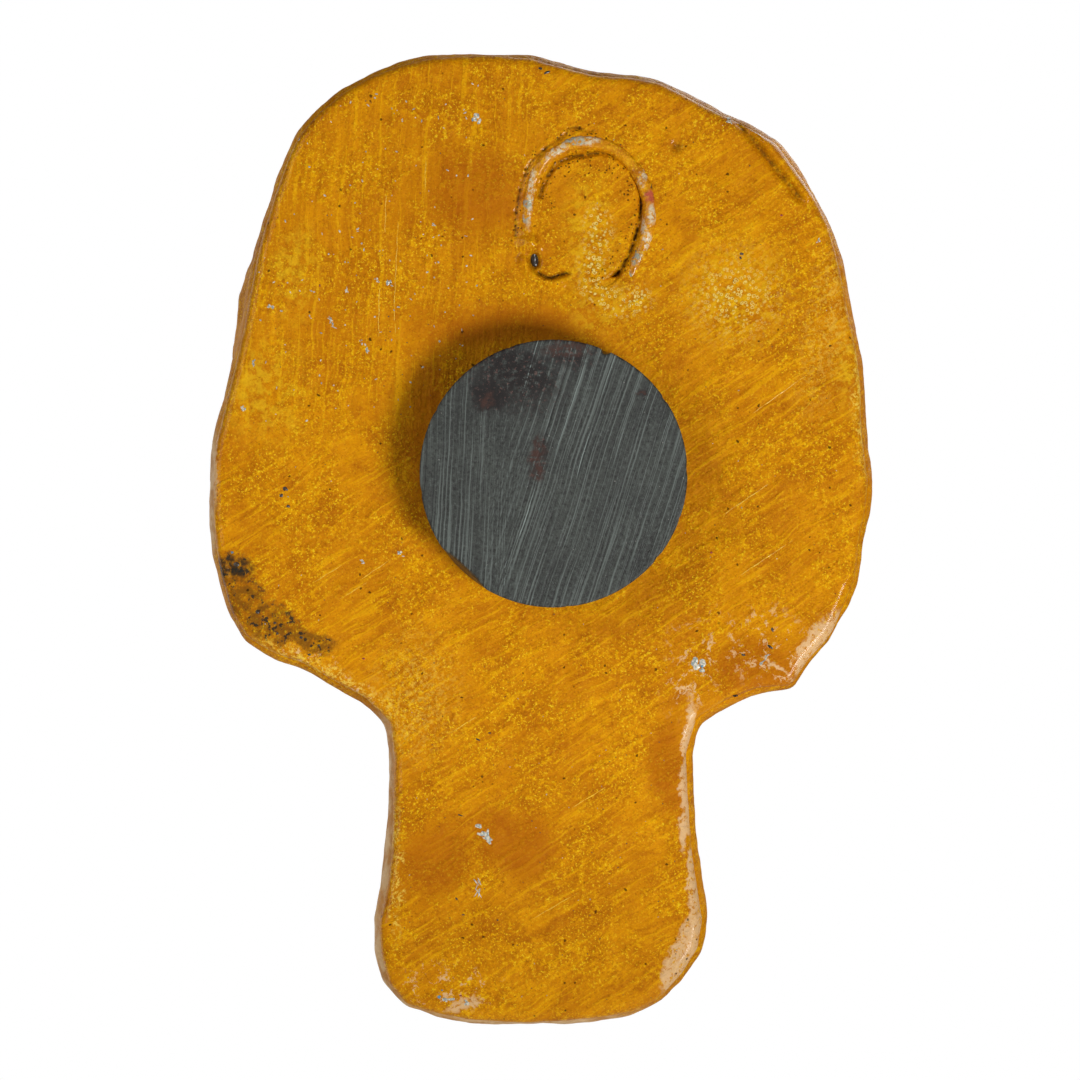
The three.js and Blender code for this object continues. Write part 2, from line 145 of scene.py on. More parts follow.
def node(tree, kind, *inputs, **settings):
    """A node with its settings, and with its first sockets joined or set in order."""
    made = tree.nodes.new("ShaderNode" + kind)
    for key, value in settings.items():
        setattr(made, key, value)
    for socket, value in zip(made.inputs, inputs):
        give(tree, socket, value)
    return made


def calc(tree, operation, *values, clamp=False):
    return node(tree, "Math", *values, operation=operation, use_clamp=clamp).outputs[0]


def times(tree, value, *others):
    """The product of masks and numbers."""
    for other in others:
        value = calc(tree, "MULTIPLY", value, other)
    return value


def blend(tree, share, first, second, kind="MIX"):
    """Lays the second colour over the first by a share."""
    made = tree.nodes.new("ShaderNodeMix")
    made.data_type, made.blend_type = "RGBA", kind
    give(tree, made.inputs[0], share)
    give(tree, made.inputs[6], first)
    give(tree, made.inputs[7], second)
    return made.outputs[2]


def span(tree, value, low, high, start=0.0, end=1.0):
    """Maps a value from one range to another, smoothly and without passing its ends."""
    made = node(tree, "MapRange", value, low, high, start, end, interpolation_type="SMOOTHSTEP")
    return made.outputs[0]


def speckle(tree, where, scale, detail=3.0, rough=0.55, twist=0.0):
    """Soft noise, with its scale in waves per mm."""
    made = tree.nodes.new("ShaderNodeTexNoise")
    give(tree, made.inputs["Vector"], where)
    made.inputs["Scale"].default_value = scale
    made.inputs["Detail"].default_value = detail
    made.inputs["Roughness"].default_value = rough
    made.inputs["Distortion"].default_value = twist
    return made.outputs[0]


def group(name, inputs, outputs):
    """An empty shader group with named sockets, and its input and output nodes."""
    tree = bpy.data.node_groups.new(name, "ShaderNodeTree")
    for label, kind, value in inputs:
        socket = tree.interface.new_socket(label, in_out="INPUT", socket_type="NodeSocket" + kind)
        socket.default_value = value
    for label, kind in outputs:
        tree.interface.new_socket(label, in_out="OUTPUT", socket_type="NodeSocket" + kind)
    return tree, tree.nodes.new("NodeGroupInput"), tree.nodes.new("NodeGroupOutput")


def use(tree, grouped, **inputs):
    """A group in a material, with values or links for some of its sockets."""
    made = tree.nodes.new("ShaderNodeGroup")
    made.node_tree = grouped
    for label, value in inputs.items():
        give(tree, made.inputs[label.replace("_", " ")], value)
    return made.outputs


def wander(tree, place, reach, scale):
    """Places pushed about by noise, so that what is laid out by them has an uneven edge."""
    made = tree.nodes.new("ShaderNodeTexNoise")
    give(tree, made.inputs["Vector"], place)
    made.inputs["Scale"].default_value = scale
    made.inputs["Detail"].default_value = 4.0
    shift = node(tree, "VectorMath", made.outputs["Color"], (0.5, 0.5, 0.5),
        operation="SUBTRACT").outputs[0]
    shift = node(tree, "VectorMath", shift, (reach, reach, reach), operation="MULTIPLY").outputs[0]
    return node(tree, "VectorMath", place, shift, operation="ADD").outputs[0]


# Where a spot of paint lies: 1 inside an oval across the figure, 0 outside it.
spot_group, into, out = group(
    "Spot",
    [("Place", "Vector", (0, 0, 0)), ("Middle", "Vector", (0, 0, 0)), ("Turn", "Float", 0.0),
     ("Halves", "Vector", (1, 1000, 1)), ("Edge", "Float", 0.3)],
    [("Mask", "Float")])
away = node(spot_group, "VectorMath", into.outputs["Place"], into.outputs["Middle"],
            operation="SUBTRACT").outputs[0]
turned = node(spot_group, "VectorRotate", away, (0, 0, 0), (0, 1, 0), into.outputs["Turn"]).outputs[0]
shares = node(spot_group, "VectorMath", turned, into.outputs["Halves"], operation="DIVIDE").outputs[0]
reach = node(spot_group, "VectorMath", shares, operation="LENGTH").outputs["Value"]
outer = calc(spot_group, "ADD", 1.0, into.outputs["Edge"])
inner = calc(spot_group, "SUBTRACT", 1.0, into.outputs["Edge"])
give(spot_group, out.inputs[0], span(spot_group, reach, outer, inner))

# Marks that a bristle brush leaves: long across one way, with a fine and a coarse set of lines.
brush_group, into, out = group(
    "Brush marks",
    [("Place", "Vector", (0, 0, 0)), ("Turn", "Float", 0.0), ("Fine", "Float", 3.0),
     ("Coarse", "Float", 0.9), ("Along", "Float", 0.07)],
    [("Lines", "Float"), ("Bands", "Float")])
turned = node(brush_group, "VectorRotate", into.outputs["Place"], (0, 0, 0), (0, 1, 0),
              into.outputs["Turn"]).outputs[0]
for label, across, output in (("lines", "Fine", 0), ("bands", "Coarse", 1)):
    stretch = node(brush_group, "CombineXYZ", into.outputs[across], 0.2, into.outputs["Along"]).outputs[0]
    drawn = node(brush_group, "VectorMath", turned, stretch, operation="MULTIPLY").outputs[0]
    give(brush_group, out.inputs[output], speckle(brush_group, drawn, 1.0, 2.5, 0.6, 0.25))

# The surface of dried pulp under paint: soft dents, a grain and the odd pinhole.
pulp_group, into, out = group(
    "Pulp surface", [("Place", "Vector", (0, 0, 0))], [("Height", "Float"), ("Pinholes", "Float")])
dents = speckle(pulp_group, into.outputs["Place"], 0.8, 2.0)
grain = speckle(pulp_group, into.outputs["Place"], 4.5, 4.0, 0.65)
crumbled = wander(pulp_group, into.outputs["Place"], 0.35, 2.6)
pits = node(pulp_group, "TexVoronoi", crumbled, feature="F1")
pits.inputs["Scale"].default_value = 1.3
chance = node(pulp_group, "SeparateColor", pits.outputs["Color"]).outputs[0]
bore = times(pulp_group, span(pulp_group, pits.outputs["Distance"], 0.15, 0.08),
            span(pulp_group, chance, 0.82, 0.86))
height = calc(pulp_group, "ADD", times(pulp_group, dents, 0.5),
    times(pulp_group, grain, 0.3))
give(pulp_group, out.inputs[0], calc(pulp_group, "SUBTRACT", height,
    times(pulp_group, bore, 0.5)))
give(pulp_group, out.inputs[1], bore)


def new_finish(name, roughness=0.4, coat=0.0, coat_roughness=0.1, metallic=0.0, specular=0.5):
    """An empty procedural material: its tree, its shader, and places on the plaque in mm."""
    material = bpy.data.materials.new(name)
    material.use_nodes = True
    tree = material.node_tree
    shader = tree.nodes["Principled BSDF"]
    shader.inputs["Roughness"].default_value = roughness
    shader.inputs["Coat Weight"].default_value = coat
    shader.inputs["Coat Roughness"].default_value = coat_roughness
    shader.inputs["Metallic"].default_value = metallic
    shader.inputs["Specular IOR Level"].default_value = specular
    spot = tree.nodes.new("ShaderNodeTexCoord").outputs["Object"]
    place = node(tree, "VectorMath", spot, (1000, 1000, 1000), operation="MULTIPLY").outputs[0]
    return material, tree, shader, place


def relief(tree, shader, height, depth, strength=1.0):
    """Feeds a height, in mm for 1, to the shader as a bump."""
    bump = tree.nodes.new("ShaderNodeBump")
    bump.inputs["Strength"].default_value = strength
    bump.inputs["Distance"].default_value = depth * MM
    give(tree, bump.inputs["Height"], height)
    give(tree, shader.inputs["Normal"], bump.outputs[0])


def spot(tree, place, x, z, wide, tall, edge=0.35, turn=0.0):
    """The mask of an oval spot: its middle and half sizes in mm, turned in degrees."""
    return use(tree, spot_group, Place=place, Middle=(x, 0, z), Turn=math.radians(turn),
               Halves=(wide, 1000, tall), Edge=edge)[0]


def together(tree, masks):
    total = masks[0]
    for mask in masks[1:]:
        total = calc(tree, "MAXIMUM", total, mask)
    return total


def spots(tree, place, ovals):
    """Several oval spots as one mask."""
    return together(tree, [spot(tree, place, *oval) for oval in ovals])


def middle(*nodes):
    """The middle of the box round some of the plain solids, in mm."""
    corners = [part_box(n) for n in nodes]
    low = Vector([min(c[0][i] for c in corners) for i in range(3)])
    high = Vector([max(c[1][i] for c in corners) for i in range(3)])
    return (low + high) / 2 / MM


# Colours of the ochre paint that covers the back and the edge, and the lighter yellow painted as highlight
# on its raised marks.
OCHRE = colour("cc7f02")
OCHRE_LIGHT = colour("dd9002")
OCHRE_DEEP = colour("b06002")
OCHRE_HIGHLIGHT = colour("f8b803")
OCHRE_BROWN = colour("a55c03")


def ochre_layers(tree, place):
    """Ochre brushed on by hand: its colour, with painted highlights on its raised marks, and how much its
    brush marks stand up.
    """
    sides = node(tree, "SeparateXYZ", place).outputs
    rough_place = wander(tree, place, 3.0, 0.35)
    ragged = node(tree, "SeparateXYZ", rough_place).outputs
    # Strokes run up and down at the top left, and slant up to the right over the rest.
    swayed = wander(tree, place, 1.4, 0.22)
    slanted = use(tree, brush_group, Place=swayed, Turn=math.radians(57), Fine=3.2, Coarse=0.9, Along=0.2)
    upright = use(tree, brush_group, Place=swayed, Turn=math.radians(4), Fine=3.0, Coarse=1.0, Along=0.11)
    is_upright = times(tree, span(tree, ragged[0], -3.0, 3.5), span(tree, ragged[2], -1.0, 7.0))
    lines = node(tree, "Mix", is_upright).outputs[0]
    mixed = lines.node
    give(tree, mixed.inputs[2], slanted[0])
    give(tree, mixed.inputs[3], upright[0])
    bands = node(tree, "Mix", is_upright).outputs[0]
    mixed = bands.node
    give(tree, mixed.inputs[2], slanted[1])
    give(tree, mixed.inputs[3], upright[1])
    broad = speckle(tree, place, 0.16, 3.0, 0.6, 0.6)
    cloudy = speckle(tree, place, 0.55, 5.0, 0.62, 0.4)
    fine = speckle(tree, place, 2.6, 4.0, 0.7)
    grit = speckle(tree, place, 6.5, 3.0, 0.65)
    tone = blend(tree, span(tree, broad, 0.36, 0.66), OCHRE, OCHRE_LIGHT)
    grainy = span(tree, speckle(tree, place, 0.24, 4.0, 0.65), 0.42, 0.58, 0.3, 1)
    tone = blend(tree, span(tree, cloudy, 0.5, 0.72, 0, 0.6), tone, OCHRE_DEEP)
    tone = blend(tree, span(tree, bands, 0.5, 0.64, 0, 0.36), tone, OCHRE_DEEP)
    # The lighter yellow on the high brush lines and grains, and the bright yellow specks on the highest
    # grit, are painted highlights where the relief catches the light.
    tone = blend(tree, span(tree, lines, 0.54, 0.66, 0, 0.42), tone, OCHRE_HIGHLIGHT)
    tone = blend(tree, span(tree, lines, 0.46, 0.34, 0, 0.22), tone, OCHRE_BROWN)
    tone = blend(tree, times(tree, grainy, span(tree, fine, 0.49, 0.38, 0, 0.36)), tone, OCHRE_BROWN)
    tone = blend(tree, times(tree, grainy, span(tree, fine, 0.52, 0.64, 0, 0.6)), tone, OCHRE_HIGHLIGHT)
    tone = blend(tree, span(tree, grit, 0.42, 0.34, 0, 0.42), tone, colour("7c4200"))
    tone = blend(tree, times(tree, grainy, span(tree, grit, 0.57, 0.65, 0, 0.85)), tone, colour("ffd622"))
    height = calc(tree, "ADD", times(tree, lines, 1.2), times(tree, bands, 0.8))
    height = calc(tree, "ADD", height, times(tree, fine, grainy, 2.2))
    height = calc(tree, "ADD", height, times(tree, grit, 0.6))
    height = calc(tree, "ADD", height, times(tree, cloudy, 2.2))
    return tone, height, rough_place, sides


def ochre_relief(tree, shader, place, marks, extra=None):
    """The pulp's grain and the brush marks over it, as one bump."""
    pulp = use(tree, pulp_group, Place=place)
    height = calc(tree, "ADD", pulp[0], times(tree, marks, 0.55))
    if extra is not None:
        height = calc(tree, "ADD", height, extra)
    relief(tree, shader, height, 0.17, 0.85)
    return pulp[1]


head = solid_copy("head_body", "head")
modify(head, "REMESH", mode="VOXEL", voxel_size=HEAD_GRAIN * MM)
modify(head, "SMOOTH", factor=0.6, iterations=16)
lumps(head, 6.0, 0.4, 1)
lumps(head, 1.6, 0.2, 2)
# The lumps raise no part of it past the size it was made to.
places, facing = points_of(head)
low, high = (np.array(corner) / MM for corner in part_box("head_body"))
put_points(head, np.clip(places, low, high))

eyes = [middle(*[f"eye_petal_{side}_{i}" for i in range(1, 9)]) for side in ("left", "right")]
mouth = middle("upper_tooth_1", "lower_tooth_6")
rose_middle = middle("rose_bud")
axis = (eyes[0].x + eyes[1].x) / 2

head_paint, tree, shader, place = new_finish("head_paint", 0.42, 0.3, 0.12, 0, 0.15)
tone, marks, ragged_place, sides = ochre_layers(tree, place)
ragged = node(tree, "SeparateXYZ", ragged_place).outputs
primer = blend(tree, span(tree, speckle(tree, place, 0.5, 5.0, 0.65), 0.35, 0.7), colour("efe3c8"),
    colour("dcc7a0"))
primer = blend(tree, span(tree, speckle(tree, place, 2.8, 4.0, 0.7), 0.6, 0.75, 0, 0.5), primer,
    colour("b79866"))
near_place = wander(tree, place, 0.8, 1.1)
black = colour("17130f")
face = primer
for eye in eyes:
    face = blend(tree, spot(tree, near_place, eye.x, eye.z - 0.2, 7.4, 7.8, 0.05), face, colour("d9471f"))
    face = blend(tree, spot(tree, near_place, eye.x, eye.z, 6.1, 6.4, 0.06), face, black)
for side in (-1, 1):
    face = blend(tree, spot(tree, near_place, axis + side * 1.45, eyes[0].z - 10.9, 2.1, 4.2, 0.06,
        side * -19), face, black)
lips = spot(tree, near_place, mouth.x, mouth.z, 10.2, 6.4, 0.05)
face = blend(tree, lips, face, colour("7d1420"))
edge_tone = blend(tree, span(tree, speckle(tree, place, 0.7, 4.0), 0.4, 0.65), colour("e6c08c"),
    colour("c98f4c"))
# The cream shows through where the edge was held while the back dried.
bare = spots(tree, ragged_place, [
    (26.4, -1.2, 1.6, 4.6, 0.4), (12.6, -25.0, 2.6, 7.6, 0.3), (13.0, -37.6, 3.2, 5.0, 0.4),
    (1.0, -42.4, 12.0, 2.0, 0.4), (20.5, -15.4, 3.0, 1.0, 0.5, 24)])
edge = blend(tree, bare, tone, edge_tone)
# The sockets and the nose reach back past the edge's paint, and are black to the bottom.
hollows = [spot(tree, place, eye.x, eye.z, 6.6, 6.9, 0.08) for eye in eyes]
hollows.append(spot(tree, place, axis, eyes[0].z - 10.9, 4.2, 5.0, 0.1))
behind = times(tree, span(tree, ragged[1], -14.2, -12.6),
    calc(tree, "SUBTRACT", 1.0, together(tree, hollows)))
shade = blend(tree, behind, face, edge)
give(tree, shader.inputs["Base Color"], shade)
# The varnish was brushed over the face and the back, and hardly reached the rolled edge.
give(tree, shader.inputs["Coat Weight"], span(tree, behind, 0, 0.8, 0.3, 0.03))
give(tree, shader.inputs["Specular IOR Level"], span(tree, behind, 0, 0.8, 0.15, 0.03))
ochre_relief(tree, shader, place, marks)
finished(head, head_paint, "painted_pulp", "head_body")


# ---- The card former -----------------------------------------------------------------------
# Grey-brown packing card cut to a disc with a tongue, which the pulp is pressed round.
# It lies in its pocket and doesn't show.

card_finish, tree, shader, place = new_finish("card", 0.9)
fluting = node(tree, "TexWave", place, wave_type="BANDS", bands_direction="X")
fluting.inputs["Scale"].default_value = 0.35
fibres = speckle(tree, place, 2.0, 6.0, 0.7)
give(tree, shader.inputs["Base Color"], blend(tree, span(tree, fibres, 0.35, 0.7), colour("8d7048"),
    colour("ab8d62")))
relief(tree, shader, calc(tree, "ADD", fluting.outputs["Fac"], fibres), 0.1)
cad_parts["card_former"].data.materials.clear()
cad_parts["card_former"].data.materials.append(card_finish)


# ---- The back layer ------------------------------------------------------------------------
# Paper and paste laid over the flat back in one sheet, with its edge rolled over by a finger.
# Ochre paint in two coats and a gloss varnish; a groove round the wire loop never quite filled.

BACK_GRAIN = 0.3  # the finest shape that the back keeps, in mm
LOOP_LINE = [
    (1.1, 14.2), (1.3, 15.5), (1.65, 16.8), (2.0, 18.2), (2.0, 20.6), (1.3, 23.1), (-0.45, 24.7),
    (-2.6, 25.15), (-4.85, 24.6), (-6.65, 22.6), (-7.35, 20.4), (-7.1, 17.8), (-6.1, 15.6), (-5.4, 14.2),
    (-5.0, 13.2)]
INNER_CRACK = [
    (1.01, 21.0), (0.56, 22.3), (-0.19, 23.4), (-1.2, 23.9), (-2.3, 24.05), (-3.5, 24.25), (-4.4, 24.15),
    (-5.1, 23.7), (-5.86, 23.0), (-6.4, 22.0), (-6.65, 21.0), (-6.6, 19.9), (-6.5, 18.9), (-6.2, 18.0),
    (-5.8, 16.8), (-5.35, 15.9), (-4.9, 15.2), (-4.5, 14.75), (-3.9, 14.4)]
OUTER_CRACK = [
    (2.85, 18.0), (2.85, 19.8), (2.55, 21.4), (2.15, 22.6), (1.75, 23.4), (1.0, 24.2), (0.0, 25.05),
    (-0.95, 25.6), (-1.15, 26.0), (-1.7, 26.15), (-2.3, 25.95), (-3.0, 25.85)]
LIP = [(2.3, 16.1), (1.8, 15.2), (1.0, 14.75), (0.2, 14.45), (-0.6, 14.55)]
TAIL = [(1.1, 15.15), (0.6, 14.85), (0.1, 14.8), (-0.5, 15.05), (-1.1, 15.15)]
FROTH = [
    (-3.3, 19.2), (-3.5, 18.3), (-3.3, 17.4), (-2.9, 15.9), (-3.3, 15.2), (-2.9, 14.1), (-3.8, 13.4),
    (-4.7, 12.9), (-5.6, 12.8), (-6.5, 13.2)]
CREASE = [(-14.1, 26.4), (-15.3, 24.9), (-16.1, 23.9), (-17.3, 22.4), (-18.6, 20.8)]


def nearness(places, path, width):
    """1 on a path across the back, falling smoothly to 0 at a width from it, in mm."""
    across = places[:, [0, 2]]
    best = np.full(len(places), np.inf)
    for start, end in zip(path, path[1:]):
        start, run = np.array(start), np.array(end) - np.array(start)
        share = np.clip(((across - start) @ run) / (run @ run), 0, 1)
        best = np.minimum(best, np.linalg.norm(across - start - share[:, None] * run, axis=1))
    near = np.clip(1 - best / width, 0, 1)
    return near * near * (3 - 2 * near)


def swell(places, x, z, wide, tall):
    """A soft mound's share of its height at each place."""
    away = ((places[:, 0] - x) / wide) ** 2 + ((places[:, 2] - z) / tall) ** 2
    return np.exp(-1.6 * away)


def refine(piece, x, z, wide, tall, cuts):
    """Splits the faces of the back inside a box across the figure, so that it keeps finer shapes there."""
    for face in piece.data.polygons:
        spot = face.center / MM
        face.select = face.normal.y > 0.2 and abs(spot.x - x) < wide and abs(spot.z - z) < tall
    bpy.ops.object.mode_set(mode="EDIT")
    bpy.ops.mesh.select_mode(type="FACE")
    bpy.ops.mesh.subdivide(number_cuts=cuts, smoothness=0)
    bpy.ops.mesh.select_all(action="DESELECT")
    bpy.ops.object.mode_set(mode="OBJECT")


# Paste fills the groove that the wire was pressed into, level with the back.
bedding = solid_copy("hanging_loop", "loop_bedding")
places, facing = points_of(bedding)
places += 0.45 * facing
places[:, 1] = np.minimum(places[:, 1], -4.42)
put_points(bedding, places)
back = solid_copy("back_layer", "back_layer_paper")
bedding.select_set(True)
bpy.ops.object.join()
modify(back, "REMESH", mode="VOXEL", voxel_size=BACK_GRAIN * MM)
modify(back, "SMOOTH", factor=0.5, iterations=4)
refine(back, -2.7, 19.4, 6.6, 7.6, 2)
refine(back, -16.4, 23.4, 3.4, 4.0, 1)
lumps(back, 8.0, 0.2, 0)
lumps(back, 2.0, 0.11, 2)
places, facing = points_of(back)
out_share = np.clip((facing[:, 1] - 0.2) / 0.5, 0, 1)
ruffle = np.sin(places[:, 0] * 5.1 + np.sin(places[:, 2] * 4.3) * 1.7)
ruffle *= np.sin(places[:, 2] * 5.7 + places[:, 0])
rise = (0.14 + 0.04 * ruffle) * nearness(places, LOOP_LINE[2:-1], 1.3)
rise -= 0.16 * swell(places, -2.7, 19.6, 3.9, 4.2)
rise -= (0.36 + 0.12 * ruffle) * nearness(places, INNER_CRACK, 0.36)
rise -= (0.1 + 0.08 * ruffle) * nearness(places, OUTER_CRACK, 0.3)
rise -= 0.32 * nearness(places, CREASE, 0.55)
rise += 0.3 * nearness(places, [(x - 0.55, z + 0.35) for x, z in CREASE], 0.8)
rise += 0.12 * nearness(places, [(x + 0.7, z - 0.5) for x, z in CREASE], 0.9)
rise -= 0.85 * swell(places, 1.42, 16.1, 0.42, 0.68)
rise -= 0.35 * nearness(places, TAIL, 0.32)
rise -= 0.4 * nearness(places, INNER_CRACK[-3:], 0.34)
rise += 0.34 * nearness(places, LIP, 0.62)
rise += 0.4 * swell(places, 1.75, 17.4, 1.0, 0.8)
rise += 0.22 * swell(places, -2.4, 12.9, 6.4, 2.1)
rise += 0.04 * ruffle * nearness(places, FROTH, 1.4)
rise -= 0.3 * swell(places, -9.35, 24.7, 0.5, 0.45)
rise -= 0.14 * nearness(places, [(-14.1, 16.8), (-14.4, 16.2)], 0.5)
rise += 0.1 * nearness(places, [(-1.5, -14.2), (-2.4, -18.4), (-4.3, -23.7)], 0.42)
rise += 0.08 * nearness(places, [(-3.8, -24.6), (-5.1, -26.1)], 0.42)
places[:, 1] += out_share * rise
put_points(back, places)


def mark(piece, name, values):
    """Keeps a number for each corner, for the paint to follow."""
    made = piece.data.attributes.new(name, "FLOAT", "POINT")
    made.data.foreach_set("value", np.clip(values, 0, 1).astype(np.float32))


# Painted shade and shadow lie in the cracks beside the loop, in the crease and in the holes; pores crowd
# beside the cracks.
painted_shade = 1.2 * nearness(places, INNER_CRACK, 0.27) * (0.7 + 0.3 * ruffle)
painted_shade = np.maximum(painted_shade, 1.1 * nearness(places, OUTER_CRACK, 0.19) * (0.55 + 0.45 * ruffle))
painted_shade = np.maximum(painted_shade, 0.9 * nearness(places, CREASE, 0.36) * (0.75 + 0.25 * ruffle))
painted_shade = np.maximum(painted_shade, 1.2 * swell(places, 1.42, 16.1, 0.44, 0.7))
painted_shade = np.maximum(painted_shade, nearness(places, TAIL, 0.26))
painted_shade = np.maximum(painted_shade, nearness(places, INNER_CRACK[-3:], 0.3))
painted_shade = np.maximum(painted_shade, 0.7 * swell(places, -9.35, 24.7, 0.5, 0.45))
mark(back, "crack_shade", painted_shade)
within = [(x + (-2.7 - x) * 0.12, z + (19.4 - z) * 0.12) for x, z in INNER_CRACK]
mark(back, "pores", np.maximum(nearness(places, within, 1.5), 0.8 * nearness(places, OUTER_CRACK, 0.9)))
mark(back, "froth", np.maximum(nearness(places, FROTH, 1.5), swell(places, -13.7, 13.5, 3.0, 2.9)))

back_paint, tree, shader, place = new_finish("back_paint", 0.5, 0.15, 0.1, 0, 0.05)
tone, marks, ragged_place, sides = ochre_layers(tree, place)
close_place = wander(tree, place, 1.3, 0.9)
# Where the first, browner coat shows through; the two spots along the magnet's +X rim and just above its
# top are a painted shadow of the magnet.
brown_coat_and_magnet_shadow = spots(tree, ragged_place, [
    (6.0, 21.2, 3.4, 3.3, 0.5), (3.0, -27.6, 3.3, 2.6, 0.35, 20), (8.9, -29.0, 2.9, 2.6, 0.5),
    (-8.9, -22.4, 1.6, 4.0, 0.5), (-15.2, -14.4, 3.6, 2.2, 0.45), (9.4, 2.0, 1.7, 5.0, 0.6),
    (3.0, 11.4, 7.0, 1.4, 0.7)])
tone = blend(tree, times(tree, brown_coat_and_magnet_shadow, 0.62), tone, colour("b05c03"))
# Thin yellow where the brush was nearly dry, and the froth of small bubbles in it.
thin = spots(tree, ragged_place, [
    (-13.8, 13.6, 3.6, 3.4, 0.7), (-2.6, 17.6, 1.6, 4.6, 0.7), (21.8, 6.5, 2.6, 3.4, 0.8),
    (-22.6, 7.6, 1.4, 2.6, 0.8), (19.4, 15.2, 1.6, 3.0, 0.8), (-4.4, 12.8, 2.6, 1.6, 0.8)])
dabs = span(tree, speckle(tree, close_place, 1.5, 4.0, 0.7), 0.42, 0.62)
tone = blend(tree, times(tree, thin, dabs, 0.55), tone, colour("f0c01c"))
froth = node(tree, "Attribute", attribute_name="froth").outputs["Fac"]
froth = times(tree, froth, span(tree, speckle(tree, close_place, 0.9, 4.0, 0.7), 0.34, 0.46))
bubbles = node(tree, "TexVoronoi", wander(tree, place, 0.25, 3.0), feature="F1")
bubbles.inputs["Scale"].default_value = 3.2
rims = times(tree, span(tree, bubbles.outputs["Distance"], 0.16, 0.26),
            span(tree, bubbles.outputs["Distance"], 0.46, 0.32))
tone = blend(tree, times(tree, froth, rims, 0.95), tone, colour("ffe684"))
# A brown stain with its run, and sooty spots inside it.
torn_place = wander(tree, wander(tree, place, 1.5, 0.5), 0.8, 2.2)
stain = spots(tree, torn_place, [
    (24.1, -7.2, 1.7, 1.3, 0.22), (23.4, -9.4, 1.5, 1.5, 0.22, 40), (21.3, -11.2, 2.2, 1.5, 0.25, 25),
    (18.2, -12.5, 1.9, 0.8, 0.3, 16)])
patchy = span(tree, speckle(tree, place, 1.4, 5.0, 0.7), 0.38, 0.56, 0.3, 1)
tone = blend(tree, times(tree, stain, patchy, 0.8), tone, colour("74480f"))
soot = spot(tree, torn_place, 24.2, -7.0, 1.4, 0.8, 0.4)
tone = blend(tree, times(tree, soot, patchy, 0.9), tone, colour("33291c"))
specks = span(tree, speckle(tree, place, 2.2, 3.0, 0.6), 0.58, 0.62)
tone = blend(tree, times(tree, stain, specks, 0.9), tone, colour("2d2b24"))
# Peach patches along the -X side of the jaw and the lower lobe are painted highlights, the varnish's gloss;
# on the +X side and at the bottom, fingers have rubbed the paint through to the cream.
worn_and_sheen = spots(tree, torn_place, [
    (20.4, -14.1, 2.0, 0.3, 0.3, 24), (-20.2, -12.9, 1.3, 3.0, 0.14, 35),
    (-10.1, -22.6, 0.55, 5.8, 0.14, 3), (-10.6, -30.8, 0.62, 3.0, 0.14, 2),
    (-9.9, -36.2, 1.2, 3.3, 0.14, 26), (6.6, -39.9, 1.2, 0.45, 0.3, -14),
    (-17.0, -14.6, 1.5, 0.16, 0.4, 40), (25.6, 1.2, 0.3, 3.4, 0.3)])
worn_and_sheen_breakup = span(tree, speckle(tree, torn_place, 2.4, 5.0, 0.75), 0.42, 0.47, 0.1, 1)
crumbs = spots(tree, ragged_place, [
    (-10.6, -14.4, 1.9, 3.4, 0.5, 20), (-16.6, -13.2, 4.2, 2.6, 0.5, 20), (8.2, -38.6, 3.4, 1.6, 0.5),
    (16.8, -15.4, 4.2, 1.0, 0.5, 30)])
crumbs = times(tree, span(tree, speckle(tree, torn_place, 1.3, 4.0, 0.7), 0.57, 0.6), crumbs)
worn_and_sheen = calc(tree, "MAXIMUM", worn_and_sheen, crumbs)
# Along the lower left the second coat is so thin that it is nearly lemon, and broken up.
lemon = spots(tree, torn_place, [
    (18.0, -14.6, 4.6, 0.8, 0.4, 24), (14.4, -16.9, 2.6, 0.7, 0.4, 34), (12.6, -20.4, 0.5, 3.6, 0.4),
    (11.9, -30.0, 0.4, 5.0, 0.4), (-23.2, 7.0, 0.6, 6.0, 0.4)])
faint = spots(tree, ragged_place, [
    (10.6, -17.0, 2.6, 4.0, 0.8, 10), (-21.0, 12.0, 1.6, 6.0, 0.8, 14)])
lemon = together(tree, [lemon, times(tree, 0.45, faint)])
thinned = span(tree, speckle(tree, close_place, 3.0, 4.0, 0.75), 0.5, 0.57)
tone = blend(tree, times(tree, lemon, thinned, 0.8), tone, colour("f7d052"))
# Cream where the paint is worn, and peach painted highlight along the -X side of the jaw and the lower
# lobe.
tone = blend(tree, times(tree, worn_and_sheen, worn_and_sheen_breakup, 0.85), tone, colour("e9c08c"))
# Painted shade in the cracks beside the loop, the crease and the holes.
crack_shade_mask = node(tree, "Attribute", attribute_name="crack_shade").outputs["Fac"]
broken = span(tree, speckle(tree, place, 2.4, 3.0, 0.6), 0.36, 0.5, 0.25, 1)
tone = blend(tree, times(tree, crack_shade_mask, broken, 0.95), tone, colour("2b1804"))
pores = node(tree, "TexVoronoi", wander(tree, place, 0.3, 3.0), feature="F1")
pores.inputs["Scale"].default_value = 3.6
chance = node(tree, "SeparateColor", pores.outputs["Color"]).outputs[0]
crowd = node(tree, "Attribute", attribute_name="pores").outputs["Fac"]
bored = times(tree, span(tree, pores.outputs["Distance"], 0.3, 0.2), span(tree, chance, 0.36, 0.42))
bored = times(tree, bored, span(tree, crowd, 0.1, 0.5))
extra = calc(tree, "SUBTRACT", times(tree, froth, rims, 0.25), times(tree, bored, 0.5))
shaded_pits = ochre_relief(tree, shader, place, marks, extra)
shaded_pits = calc(tree, "MAXIMUM", shaded_pits, bored)
